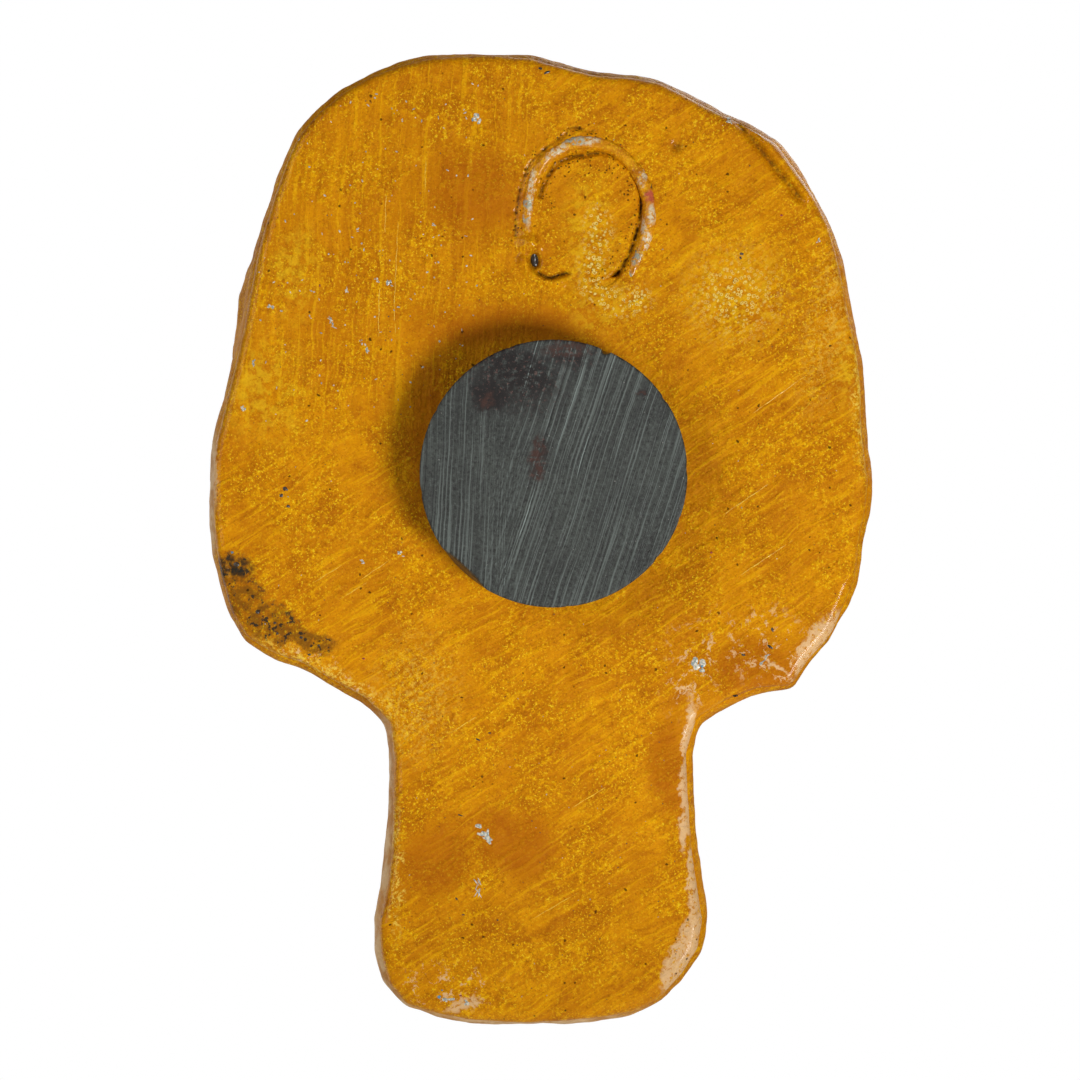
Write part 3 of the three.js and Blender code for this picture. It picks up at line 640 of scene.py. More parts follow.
# The pores and pinholes are darkened in colour too: painted shade in the pits.
tone = blend(tree, times(tree, shaded_pits, 0.8), tone, colour("3a2006"))
give(tree, shader.inputs["Base Color"], tone)
glossy = span(tree, speckle(tree, place, 0.45, 3.0), 0.3, 0.7, 0.42, 0.6)
give(tree, shader.inputs["Roughness"], glossy)
finished(back, back_paint, "painted_pulp", "back_layer")


# ---- The hanging loop ----------------------------------------------------------------------
# Soft steel wire bent to a horseshoe and pressed half its thickness into the wet back.
# It was painted over with the rest; the paint has chipped to white primer at the top.

wire_curve = bpy.data.curves.new("hanging_loop_wire", "CURVE")
wire_curve.dimensions = "3D"
wire_curve.bevel_depth = 0.5 * MM
wire_curve.bevel_resolution = 5
wire_curve.resolution_u = 10
wire_curve.use_fill_caps = True
line = wire_curve.splines.new("NURBS")
line.points.add(len(LOOP_LINE) - 1)
line.use_endpoint_u = True
line.order_u = 4
for i, (point, (x, z)) in enumerate(zip(line.points, LOOP_LINE)):
    sunk = (1.5, 0.7, 0.3, 0.12, 0.04, 0.04, 0.02, 0.02, 0.04, 0.02, 0.02, 0.06, 0.12, 0.4, 1.0)[i]
    point.co = (x * MM, (-4.5 - sunk) * MM, z * MM, 1)
    point.radius = (0.9, 0.85, 0.9, 0.94, 1.0, 0.98, 1.08, 1.1, 1.0, 1.06, 1.08, 1.0, 1.0, 1.0, 0.9)[i]
loop = bpy.data.objects.new("hanging_loop_wire", wire_curve)
bpy.context.scene.collection.objects.link(loop)
loop = as_mesh(loop)
modify(loop, "REMESH", mode="VOXEL", voxel_size=0.12 * MM)
modify(loop, "SMOOTH", factor=0.5, iterations=2)
lumps(loop, 0.9, 0.2, 2)
lumps(loop, 0.35, 0.07, 1)

wire_paint, tree, shader, place = new_finish("wire_paint", 0.45, 0.3, 0.1, 0, 0.15)
tone, marks, ragged_place, sides = ochre_layers(tree, place)
near_place = wander(tree, place, 0.8, 2.6)
chipped = spots(tree, near_place, [
    (-2.2, 25.25, 1.3, 0.4, 0.3, 4), (-0.2, 24.3, 1.0, 0.25, 0.4, -36), (1.7, 21.0, 0.2, 2.2, 0.5, 4),
    (-7.5, 19.6, 0.4, 0.7, 0.35), (-7.1, 17.6, 0.28, 2.0, 0.4, -16), (-6.9, 22.6, 0.3, 0.9, 0.5, 24)])
streaks = span(tree, speckle(tree, place, 3.2, 4.0, 0.7), 0.42, 0.52, 0.05, 1)
tone = blend(tree, times(tree, chipped, streaks, 0.8), tone, colour("e2d9b8"))
cold = spots(tree, near_place, [
    (-1.6, 25.1, 0.8, 0.3, 0.4), (2.0, 20.4, 0.3, 0.3, 0.4), (2.1, 19.2, 0.25, 0.3, 0.4),
    (-6.2, 16.4, 0.4, 0.6, 0.4), (-5.6, 14.8, 0.4, 0.5, 0.4)])
tone = blend(tree, times(tree, cold, streaks, 0.75), tone, colour("8aa39b"))
tone = blend(tree, times(tree, spot(tree, near_place, -7.35, 20.9, 0.42, 0.45, 0.4), 0.8), tone,
    colour("b84a44"))
tone = blend(tree, spot(tree, near_place, -7.45, 21.75, 0.18, 0.22, 0.4), tone, colour("1d2a30"))
naked = times(tree, span(tree, sides[2], 17.0, 16.7), span(tree, sides[0], -1.0, 0.0))
tone = blend(tree, naked, tone, colour("332b24"))
give(tree, shader.inputs["Base Color"], tone)
ochre_relief(tree, shader, place, marks)
finished(loop, wire_paint, "wire", "hanging_loop")


# ---- The paste over the loop's legs --------------------------------------------------------
# A dab of the same pulp, smeared flat with a thumb so that the wire can't pull out.

patch = solid_copy("loop_patch", "loop_patch_paste")
modify(patch, "REMESH", mode="VOXEL", voxel_size=0.16 * MM)
modify(patch, "SMOOTH", factor=0.6, iterations=8)
lumps(patch, 1.2, 0.2, 2)
places, facing = points_of(patch)
places[:, 1] -= 0.36
put_points(patch, places)
finished(patch, back_paint, "painted_pulp", "loop_patch")


# ---- The glue under the magnet -------------------------------------------------------------
# A disc of clear adhesive gone amber, which the magnet is bedded on.

glue_finish, tree, shader, place = new_finish("glue", 0.22, 0.4, 0.05)
cloud = speckle(tree, place, 0.6, 4.0)
give(tree, shader.inputs["Base Color"], blend(tree, span(tree, cloud, 0.35, 0.65), colour("a8803a"),
    colour("cda85e")))
relief(tree, shader, cloud, 0.1)
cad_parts["magnet_glue"].data.materials.clear()
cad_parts["magnet_glue"].data.materials.append(glue_finish)


# ---- The magnet ----------------------------------------------------------------------------
# A ferrite disc, pressed, fired and ground flat, so its face keeps the grinder's lines.
# The rim has small nicks and one longer chip; brown glue and rust have stained its upper half.

low, high = (Vector(corner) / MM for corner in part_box("magnet"))
RADIUS, THICK = (high.x - low.x) / 2, high.y - low.y
bpy.ops.object.select_all(action="DESELECT")
bpy.ops.mesh.primitive_cylinder_add(vertices=240, radius=RADIUS * MM, depth=THICK * MM,
    location=(0, (low.y + high.y) / 2 * MM, 0), rotation=(math.pi / 2, 0, 0))
magnet = bpy.context.object
magnet.name = magnet.data.name = "magnet_disc"
bpy.ops.object.transform_apply(location=True, rotation=True, scale=True)
bpy.ops.object.mode_set(mode="EDIT")
bpy.ops.mesh.select_mode(type="FACE")
bpy.ops.mesh.select_all(action="DESELECT")
bpy.ops.object.mode_set(mode="OBJECT")
for face in magnet.data.polygons:
    face.select = abs(face.normal.y) > 0.9
bpy.ops.object.mode_set(mode="EDIT")
bpy.ops.mesh.bevel(offset=0.14 * MM, segments=3, affect="EDGES")
bpy.ops.mesh.select_all(action="DESELECT")
bpy.ops.object.mode_set(mode="OBJECT")
for face in magnet.data.polygons:
    face.select = face.normal.y > 0.999
bpy.ops.object.mode_set(mode="EDIT")
for step in (0.12, 0.16, 0.24, 0.5):
    bpy.ops.mesh.inset(thickness=step * MM)
bpy.ops.object.mode_set(mode="OBJECT")
places, facing = points_of(magnet)
angle = np.degrees(np.arctan2(places[:, 2], places[:, 0]))
radius = np.hypot(places[:, 0], places[:, 2])
# Each nick: where on the rim in degrees, how long, how far in and how deep in mm.
for at, long, inward, deep in [
        (-46.6, 12.8, 0.3, 1.0), (113, 2.2, 0.3, 0.3), (146, 1.6, 0.08, 0.2), (71, 1.3, 0.06, 0.15),
        (178, 3.0, 0.07, 0.2), (-8, 2.4, 0.06, 0.16), (-96, 1.8, 0.06, 0.2), (28, 1.4, 0.06, 0.15),
        (-141, 2.0, 0.07, 0.2), (-160, 1.2, 0.06, 0.15)]:
    off = np.abs((angle - at + 180) % 360 - 180) / long
    share = np.clip(1 - off ** 2, 0, 1) * np.clip((radius - RADIUS + 0.9) / 0.9, 0, 1)
    share *= places[:, 1] > -THICK / 2
    keep = 1 - share * inward / RADIUS
    places[:, 0] *= keep
    places[:, 2] *= keep
    places[:, 1] -= share * deep * np.clip((radius - RADIUS + 0.3) / 0.3, 0, 1) * 0.5
put_points(magnet, places)

ferrite, tree, shader, place = new_finish("ferrite", 0.42, 0.0, 0.1, 0.0, 0.4)
sides = node(tree, "SeparateXYZ", place).outputs
bent = wander(tree, place, 0.5, 0.15)
ground = use(tree, brush_group, Place=bent, Turn=math.radians(18), Fine=7.0, Coarse=5.5, Along=0.05)
crossed = use(tree, brush_group, Place=bent, Turn=math.radians(3), Fine=7.0, Coarse=5.0, Along=0.05)
left_side = span(tree, sides[0], 1.0, 6.5)
lines = node(tree, "Mix", left_side)
give(tree, lines.inputs[2], ground[0])
give(tree, lines.inputs[3], crossed[0])
lines = lines.outputs[0]
lone = node(tree, "Mix", left_side)
give(tree, lone.inputs[2], ground[1])
give(tree, lone.inputs[3], crossed[1])
lone = lone.outputs[0]
# Only the free face was ground: the rim is as it was pressed and fired.
worked_face = span(tree, sides[1], -0.3, -0.12)
still = times(tree, calc(tree, "SUBTRACT", 1.0, worked_face), 0.5)
lines = calc(tree, "ADD", times(tree, lines, worked_face), still)
lone = calc(tree, "ADD", times(tree, lone, worked_face), still)
worked = speckle(tree, place, 3.2, 5.0, 0.8)
base = blend(tree, span(tree, speckle(tree, place, 0.35, 3.0), 0.35, 0.65), colour("30332f"),
    colour("3c403b"))
base = blend(tree, span(tree, worked, 0.5, 0.38, 0, 0.9), base, colour("171412"))
base = blend(tree, span(tree, worked, 0.53, 0.64, 0, 0.5), base, colour("646b66"))
base = blend(tree, span(tree, lines, 0.51, 0.64, 0, 0.7), base, colour("6c746f"))
base = blend(tree, span(tree, lines, 0.47, 0.35, 0, 0.65), base, colour("1b1c1b"))
base = blend(tree, span(tree, lone, 0.66, 0.7, 0, 0.7), base, colour("8f9b96"))
close_place = wander(tree, place, 1.5, 1.3)
patchy = span(tree, speckle(tree, place, 1.8, 5.0, 0.7), 0.38, 0.54)
soil = spots(tree, close_place, [
    (3.0, 7.3, 3.4, 2.2, 0.6, 24), (4.9, 5.5, 1.2, 1.0, 0.4), (-1.2, 8.9, 1.8, 1.0, 0.6),
    (-6.6, 6.1, 0.4, 0.3, 0.5), (1.1, 1.2, 0.6, 1.7, 0.5, 10)])
base = blend(tree, times(tree, soil, patchy, 0.95), base, colour("1a1210"))
blot = together(tree, [
    spot(tree, close_place, 4.7, 5.9, 1.5, 1.0, 0.3, 24), times(tree, patchy,
    spot(tree, close_place, 2.4, 7.8, 2.6, 1.4, 0.5, 24))])
base = blend(tree, times(tree, blot, 0.92), base, colour("120b09"))
crust = span(tree, speckle(tree, place, 3.4, 4.0, 0.7), 0.56, 0.64)
base = blend(tree, times(tree, soil, crust, 0.6), base, colour("74524a"))
rust = spots(tree, close_place, [
    (-0.9, 9.3, 1.5, 0.5, 0.6), (1.2, 1.0, 0.45, 1.4, 0.6), (-6.6, 6.1, 0.22, 0.2, 0.5),
    (4.9, 5.5, 0.5, 0.5, 0.6)])
base = blend(tree, times(tree, rust, patchy, 0.7), base, colour("4a2a1e"))
dust = span(tree, speckle(tree, place, 4.5, 2.0, 0.5), 0.7, 0.76, 0, 0.5)
base = blend(tree, dust, base, colour("a9aaa2"))
give(tree, shader.inputs["Base Color"], base)
give(tree, shader.inputs["Roughness"], span(tree, calc(tree, "ADD", lines, times(tree, soil, 0.3)), 0.3,
    0.8, 0.36, 0.62))
relief(tree, shader, calc(tree, "ADD", lines, times(tree, worked, 1.2)), 0.06, 0.8)
finished(magnet, ferrite, "ferrite", "magnet")
take(magnet)
bpy.ops.object.shade_smooth_by_angle(angle=math.radians(32))


# ---- The petals round the eyes -------------------------------------------------------------
# Pellets of pulp rolled to a point and flattened in a ring round each socket, then painted
# turquoise and red in turn, with one pale stroke down the middle of each.


def pressed_on(solid, name, grain=0.15, rounds=4, wobble=0.14):
    """A pellet of pulp bedded in its paste: rounded, a little uneven, and settled on the face."""
    piece = solid_copy(solid, name)
    modify(piece, "REMESH", mode="VOXEL", voxel_size=grain * MM)
    modify(piece, "SMOOTH", factor=0.5, iterations=rounds)
    lumps(piece, 0.9, wobble, 1)
    places, facing = points_of(piece)
    places[:, 1] += 0.3
    put_points(piece, places)
    return piece


def own_shares(piece):
    """How far each corner lies along and across a piece, from -1 to 1, seen from the front."""
    places, facing = points_of(piece)
    flat = places[:, [0, 2]] - (places[:, [0, 2]].max(0) + places[:, [0, 2]].min(0)) / 2
    ways = np.linalg.eigh(np.cov(flat.T))[1]
    along, across = flat @ ways[:, 1], flat @ ways[:, 0]
    return along / np.abs(along).max(), across / np.abs(across).max()


def gloss_paint(name, main, deep, pale, stroke="fff3d8"):
    """Gloss paint over cream primer, put on with a small brush, with a pale stroke."""
    paint, tree, shader, place = new_finish(name, 0.28, 0.6, 0.08)
    bristles = use(tree, brush_group, Place=place, Turn=0.6, Fine=4.0, Coarse=1.5, Along=0.4)
    patchy = speckle(tree, place, 1.1, 4.0, 0.6)
    tone = blend(tree, span(tree, patchy, 0.35, 0.68), colour(main), colour(deep))
    tone = blend(tree, span(tree, bristles[0], 0.52, 0.75, 0, 0.55), tone, colour(pale))
    laid = node(tree, "Attribute", attribute_name="stroke").outputs["Fac"]
    dry = span(tree, speckle(tree, place, 2.4, 3.0), 0.3, 0.55)
    tone = blend(tree, times(tree, laid, dry), tone, colour(stroke))
    chips = span(tree, speckle(tree, wander(tree, place, 0.6, 2.0), 0.9, 4.0, 0.7), 0.66, 0.69)
    tone = blend(tree, times(tree, chips, 0.85), tone, colour("e4d3b0"))
    give(tree, shader.inputs["Base Color"], tone)
    pulp = use(tree, pulp_group, Place=place)
    height = calc(tree, "ADD", pulp[0], times(tree, bristles[0], 0.4))
    relief(tree, shader, calc(tree, "SUBTRACT", height, times(tree, chips, 0.25)), 0.14, 0.7)
    return paint


teal = gloss_paint("turquoise_paint", "1f9c96", "11706f", "58c7bd")
red = gloss_paint("red_paint", "b8171f", "7c0c16", "e0453c", "ffd9c8")
for side in ("left", "right"):
    for i in range(1, 9):
        petal = pressed_on(f"eye_petal_{side}_{i}", f"eye_petal_{side}_{i}_pulp")
        along, across = own_shares(petal)
        mark(petal, "stroke", (1 - (across / 0.3) ** 2) * (np.abs(along) < 0.6))
        finished(petal, red if i % 2 == 0 else teal, "paint_red" if i % 2 == 0 else "paint_teal",
                 f"eye_petal_{side}_{i}")


# ---- The brows -----------------------------------------------------------------------------
# Rolls of pulp laid over the petals and pinched flat at the ends, painted blue with a row of
# short pale hairs.

blue = gloss_paint("blue_paint", "1f5cae", "143c7c", "5b93d8")
for side in ("left", "right"):
    roll = pressed_on(f"brow_{side}", f"brow_{side}_pulp")
    along, across = own_shares(roll)
    hairs = 0.5 + 0.5 * np.sin(along * 26 + across * 2.5)
    mark(roll, "stroke", np.clip((hairs - 0.72) * 5, 0, 1) * (np.abs(across) < 0.8))
    finished(roll, blue, "paint_blue", f"brow_{side}")


# ---- The coils on the cheeks ---------------------------------------------------------------
# A thin worm of pulp curled round on itself and pressed on each cheekbone, painted pink.

pink = gloss_paint("pink_paint", "d8527f", "a82f5c", "f094b0", "ffe3e6")
for side in ("left", "right"):
    coil = pressed_on(f"cheek_coil_{side}", f"cheek_coil_{side}_pulp", 0.14, 3, 0.1)
    mark(coil, "stroke", np.zeros(len(coil.data.vertices)))
    finished(coil, pink, "paint_pink", f"cheek_coil_{side}")


# ---- The teeth -----------------------------------------------------------------------------
# Flat pellets set in two rows in the red of the mouth, ivory paint darkening to ochre towards the gum as
# painted shade.

ivory, tree, shader, place = new_finish("ivory_paint", 0.26, 0.6, 0.08)
patchy = speckle(tree, place, 1.4, 4.0, 0.6)
tone = blend(tree, span(tree, patchy, 0.35, 0.7), colour("f1e8cd"), colour("dccb9f"))
gum_shade = node(tree, "Attribute", attribute_name="stroke").outputs["Fac"]
# Painted shade: ochre towards the gum, where the tooth meets the mouth.
tone = blend(tree, times(tree, gum_shade, 0.7), tone, colour("b7833a"))
cracks = node(tree, "TexVoronoi", wander(tree, place, 0.5, 2.0), feature="DISTANCE_TO_EDGE")
cracks.inputs["Scale"].default_value = 0.8
hair = span(tree, cracks.outputs["Distance"], 0.02, 0.005, 0, 0.5)
tone = blend(tree, hair, tone, colour("7a5a34"))
give(tree, shader.inputs["Base Color"], tone)
relief(tree, shader, use(tree, pulp_group, Place=place)[0], 0.12, 0.7)
for row, way in (("upper", 1), ("lower", -1)):
    for i in range(1, 7):
        tooth = pressed_on(f"{row}_tooth_{i}", f"{row}_tooth_{i}_pulp", 0.13, 4, 0.1)
        places, facing = points_of(tooth)
        height = (places[:, 2] - places[:, 2].min()) / np.ptp(places[:, 2])
        from_gum = 1 - height if way > 0 else height
        mark(tooth, "stroke", 1 - from_gum / 0.35)
        finished(tooth, ivory, "paint_ivory", f"{row}_tooth_{i}")


# ---- The rose ------------------------------------------------------------------------------
# Five thumb-pressed petals in a ring, a rolled bud and three petals leaning on it, each one
# hollowed with the end of a brush; red outside, pink within, with a pale rim.


def cupped(piece, toward, deep):
    """Hollows a petal, deepest on the side of the flower's middle, and marks its rim."""
    places, facing = points_of(piece)
    low, high = places.min(0), places.max(0)
    half = (high - low) / 2
    centre = (high + low) / 2
    lean = np.array([toward.x - centre[0], toward.z - centre[2]])
    lean = lean / (np.linalg.norm(lean) + 1e-9)
    u = (places[:, 0] - centre[0] - lean[0] * half[0] * 0.18) / half[0]
    v = (places[:, 2] - centre[2] - lean[1] * half[2] * 0.18) / half[2]
    hollow = np.exp(-2.6 * (u * u + v * v))
    front = np.clip(-facing[:, 1] * 2 - 0.2, 0, 1)
    places[:, 1] += deep * hollow * front
    put_points(piece, places)
    mark(piece, "stroke", (np.hypot(u, v) - 0.62) * 3.0 * front)


for i in range(1, 6):
    petal = pressed_on(f"rose_outer_petal_{i}", f"rose_outer_petal_{i}_pulp", 0.14, 5, 0.2)
    cupped(petal, rose_middle, 0.7)
    finished(petal, red, "paint_red", f"rose_outer_petal_{i}")
for i in range(1, 4):
    petal = pressed_on(f"rose_inner_petal_{i}", f"rose_inner_petal_{i}_pulp", 0.14, 4, 0.16)
    cupped(petal, rose_middle, 0.55)
    finished(petal, pink, "paint_pink", f"rose_inner_petal_{i}")
bud = pressed_on("rose_bud", "rose_bud_pulp", 0.13, 4, 0.1)
places, facing = points_of(bud)
around = np.arctan2(places[:, 2] - rose_middle.z, places[:, 0] - rose_middle.x)
out_by = np.hypot(places[:, 0] - rose_middle.x, places[:, 2] - rose_middle.z)
swirl = np.sin(around - out_by * 4.2)
places[:, 1] += 0.22 * swirl * np.clip(-facing[:, 1], 0, 1) * np.clip(out_by / 0.4, 0, 1)
put_points(bud, places)
mark(bud, "stroke", np.clip(-swirl - 0.55, 0, 1) * 1.6)
finished(bud, red, "paint_red", "rose_bud")


# ---- The leaves ----------------------------------------------------------------------------
# Cut from a rolled sheet of pulp, with the ribs pressed in by the edge of a knife; green paint.

green = gloss_paint("green_paint", "2c7f3f", "175028", "6fb35c", "cfe39a")
for i in range(1, 4):
    leaf = pressed_on(f"rose_leaf_{i}", f"rose_leaf_{i}_pulp", 0.14, 4, 0.12)
    along, across = own_shares(leaf)
    places, facing = points_of(leaf)
    front = np.clip(-facing[:, 1], 0, 1)
    rib = np.exp(-(across / 0.12) ** 2)
    veins = np.exp(-(np.sin((along + np.abs(across) * 0.55) * 11) / 0.35) ** 2) * (np.abs(across) > 0.1)
    places[:, 1] += front * (0.24 * rib + 0.12 * veins)
    places[:, 1] += front * 0.3 * across ** 2
    put_points(leaf, places)
    mark(leaf, "stroke", rib * 0.9 + veins * 0.35)
    finished(leaf, green, "paint_green", f"rose_leaf_{i}")


# ---- The small flowers ---------------------------------------------------------------------
# Five-lobed discs nicked between the lobes, each with a bead of pulp for its eye: one on the
# crown, one at the temple and one on the chin.

yellow = gloss_paint("yellow_paint", "e2ab1c", "b77a0c", "f6d45c")
for name, paint, slot in (("crown_daisy", blue, "paint_blue"), ("temple_daisy", pink, "paint_pink"),
                          ("chin_daisy", teal, "paint_teal")):
    disc = pressed_on(name, name + "_pulp", 0.14, 4, 0.12)
    centre = middle(name)
    places, facing = points_of(disc)
    around = np.arctan2(places[:, 0] - centre.x, places[:, 2] - centre.z)
    out_by = np.hypot(places[:, 0] - centre.x, places[:, 2] - centre.z)
    front = np.clip(-facing[:, 1], 0, 1)
    between = np.clip(-np.cos(5 * around), 0, 1) ** 3
    places[:, 1] += front * between * 0.35 * np.clip(out_by / 1.5, 0, 1)
    put_points(disc, places)
    lobe = np.clip(np.cos(5 * around) - 0.55, 0, 1) * 2.2
    mark(disc, "stroke", lobe * (out_by > 1.5) * (out_by < 2.9))
    finished(disc, paint, slot, name)
    eye = pressed_on(name + "_bead", name + "_bead_pulp", 0.12, 2, 0.06)
    mark(eye, "stroke", np.zeros(len(eye.data.vertices)))
    finished(eye, yellow, "paint_ivory", name + "_bead")


# ---- The painted scrolls and dots ----------------------------------------------------------
# Thick paint trailed from a fine brush over the dry face: scrolls on the brow, the temples and
# the jaw, and a row of dots all round the edge.


def on_face(x, z):
    """The point of the face over a place, in mm, and the way that it looks."""
    hit, spot, facing, _ = head.ray_cast(Vector((x, -60, z)) * MM, Vector((0, 1, 0)))
    return (spot / MM, facing) if hit else (Vector((x, -14, z)), Vector((0, -1, 0)))


def trail(name, lines, width, paint, slot):
    """Lines of thick paint along the face, drawn out thin at both ends."""
    curve = bpy.data.curves.new(name, "CURVE")
    curve.dimensions = "3D"
    curve.bevel_depth = width / 2 * MM
    curve.bevel_resolution = 2
    curve.resolution_u = 3
    curve.use_fill_caps = True
    for line in lines:
        made = curve.splines.new("POLY")
        made.points.add(len(line) - 1)
        for i, (x, z) in enumerate(line):
            spot, facing = on_face(x, z)
            share = i / (len(line) - 1)
            made.points[i].co = tuple((spot + facing * 0.02) * MM) + (1,)
            made.points[i].radius = 0.35 + 0.65 * math.sin(math.pi * min(1, 0.12 + share * 0.88)) ** 0.6
    piece = bpy.data.objects.new(name, curve)
    bpy.context.scene.collection.objects.link(piece)
    piece = as_mesh(piece)
    mark(piece, "stroke", np.zeros(len(piece.data.vertices)))
    return finished(piece, paint, slot)


def scroll(x, z, size, turns, start, way=1, steps=46, tail=0.0):
    """A spiral that opens from its middle, with a tail off its end."""
    points = []
    for i in range(steps):
        share = i / (steps - 1)
        angle = start + way * share * turns * 2 * math.pi
        r = size * (0.12 + 0.88 * share)
        points.append((x + r * math.cos(angle), z + r * math.sin(angle)))
    (ax, az), (bx, bz) = points[-2:]
    length = math.hypot(bx - ax, bz - az)
    for i in range(1, 10):
        points.append((bx + (bx - ax) / length * tail * i / 9, bz + (bz - az) / length * tail * i / 9))
    return points


brow_z = middle("brow_left").z
trail("brow_scrolls", [
    scroll(axis - 2.4, brow_z - 0.2, 1.7, 1.2, 2.4, -1, 40, 1.5),
    scroll(axis + 2.4, brow_z - 0.2, 1.7, 1.2, 0.74, 1, 40, 1.5),
    [(axis, brow_z - 2.2 + 0.35 * i) for i in range(12)]], 0.62, teal, "paint_teal")
trail("temple_scrolls", [
    scroll(axis + 5.8, brow_z + 5.4, 2.1, 1.3, 3.4, -1, 44, 3.0),
    scroll(axis + 18.0, brow_z - 2.4, 1.4, 1.2, 2.2, 1, 40, 1.2),
    scroll(axis - 18.0, brow_z - 2.4, 1.4, 1.2, 0.9, -1, 40, 1.2)], 0.6, blue, "paint_blue")
trail("jaw_scrolls", [
    [(axis + side * (9.9 + 0.3 * math.sin(i * 0.9)), mouth.z + 4.4 - 0.62 * i) for i in range(14)]
    for side in (-1, 1)], 0.6, teal, "paint_teal")
trail("lip_line", [
    [(mouth.x - 9.2 + i * 0.46, mouth.z + 0.1 * math.sin(i)) for i in range(41)]], 0.42, red, "paint_red")

# The way round the edge, from the body itself: how far it reaches from its middle at each angle.
places, facing = points_of(head)
hub = (axis, -8.0)
angles = np.arctan2(places[:, 2] - hub[1], places[:, 0] - hub[0])
reaches = np.hypot(places[:, 0] - hub[0], places[:, 2] - hub[1])
EDGE_STEPS = 240  # how many directions the edge is measured in
DOT_INSET = 2.5  # from the edge to the row of dots, in mm
DOT_STEP = 2.55  # from one dot to the next, in mm
edge_angles = [-math.pi + (i + 0.5) * 2 * math.pi / EDGE_STEPS for i in range(EDGE_STEPS)]
rim = []
for angle in edge_angles:
    near = np.abs((angles - angle + np.pi) % (2 * np.pi) - np.pi) < 0.03
    rim.append(reaches[near].max())
rim = [min(rim[i - 1], rim[i], rim[(i + 1) % EDGE_STEPS]) for i in range(EDGE_STEPS)]
round_edge = [(hub[0] + (r - DOT_INSET) * math.cos(angle), hub[1] + (r - DOT_INSET) * math.sin(angle))
              for angle, r in zip(edge_angles, rim)]


def dots(name, spots, size, paint, slot):
    """Drops of thick paint, each a low mound on the face."""
    bpy.ops.object.select_all(action="DESELECT")
    for i, (x, z) in enumerate(spots):
        spot, facing = on_face(x, z)
        grown = size * (1 + 0.12 * math.sin(i * 2.4))
        bpy.ops.mesh.primitive_uv_sphere_add(segments=14, ring_count=8, radius=grown * MM,
            location=spot * MM, rotation=facing.to_track_quat("Z", "Y").to_euler(), scale=(1, 1, 0.5))
        if i == 0:
            piece = bpy.context.object
            piece.name = piece.data.name = name
            bpy.ops.object.transform_apply(location=True, rotation=True, scale=True)
            bpy.ops.object.mode_set(mode="EDIT")
    bpy.ops.object.mode_set(mode="OBJECT")
    mark(piece, "stroke", np.zeros(len(piece.data.vertices)))
    return finished(piece, paint, slot)


steps, run, last = [], 1.6, round_edge[0]
for spot_now in round_edge:
    run += math.dist(spot_now, last)
    last = spot_now
    if run > DOT_STEP:
        steps.append(spot_now)
        run = 0
dots("edge_dots_turquoise", steps[0::2], 0.62, teal, "paint_teal")
dots("edge_dots_yellow", steps[1::2], 0.5, yellow, "paint_ivory")
dots("nose_dots", [(axis + side * x, eyes[0].z + z) for side in (-1, 1) for x, z in
                   ((4.6, -10.0), (4.9, -12.2), (4.3, -14.3))], 0.42, red, "paint_red")
dots("chin_dots", [
    (axis + 5.4 * math.cos(a), mouth.z - 7.9 + 1.6 * math.sin(a)) for a in (0.0, 0.5, 2.64, 3.14)], 0.45,
    yellow, "paint_ivory")


# ---- Flecks and ridges on the back ---------------------------------------------------------
# Bits that fell in the wet paint and were varnished in: chips of white primer, soot, specks of
# the face's own colours off the bench, and ridges of paint that the brush left.

FLECK_RISE = 0.02  # how far a fleck stands up, in mm


def on_back(x, z):
    """The point of the back over a place, in mm, or None past its edge."""
    hit, spot, *_ = back.ray_cast(Vector((x, 20, z)) * MM, Vector((0, -1, 0)))
    return spot / MM if hit else None


def flecks(name, spots, material, slot, seed):
    """Thin ragged flakes on the back: each has its middle, its length, its width and its turn."""
    chance = random.Random(seed)
    bpy.ops.object.select_all(action="DESELECT")
    bpy.ops.mesh.primitive_circle_add(vertices=8, radius=0.01 * MM, location=(0, -6 * MM, 0))
    piece = bpy.context.object
    piece.name = piece.data.name = name
    bpy.ops.object.transform_apply(location=True, rotation=True, scale=True)
    bpy.ops.object.mode_set(mode="EDIT")
    bpy.ops.mesh.delete(type="VERT")
    bpy.ops.object.mode_set(mode="OBJECT")
    corners, sides = [], []
    for x, z, long, wide, turn in spots:
        start = len(corners)
        count = 7 if long < 0.3 else 11
        for i in range(count):
            angle = 2 * math.pi * i / count
            grown = chance.uniform(0.62, 1.12)
            u, v = long * grown * math.cos(angle) / 2, wide * grown * math.sin(angle) / 2
            c, s = math.cos(math.radians(turn)), math.sin(math.radians(turn))
            px, pz = x + u * c - v * s, z + u * s + v * c
            ground = on_back(px, pz)
            if ground is None:
                ground = Vector((px, -4.6, pz))
            corners.append(((px, ground.y - 0.03, pz), (x + (px - x) * 0.72, ground.y + FLECK_RISE,
                z + (pz - z) * 0.72)))
        sides.append((start, count))
    verts, faces = [], []
    for low, high in corners:
        verts += [Vector(low) * MM, Vector(high) * MM]
    for start, count in sides:
        ring = [2 * (start + i) for i in range(count)]
        for a, b in zip(ring, ring[1:] + ring[:1]):
            faces.append((a, a + 1, b + 1, b))
        faces.append(tuple(a + 1 for a in reversed(ring)))
        faces.append(tuple(ring))
    piece.data.clear_geometry()
    piece.data.from_pydata(verts, [], faces)
    bpy.context.view_layer.objects.active = piece
    piece.select_set(True)
    bpy.ops.object.mode_set(mode="EDIT")
    bpy.ops.mesh.select_all(action="SELECT")
    bpy.ops.mesh.normals_make_consistent(inside=False)
    bpy.ops.object.mode_set(mode="OBJECT")
    finished(piece, material, slot)
    return piece


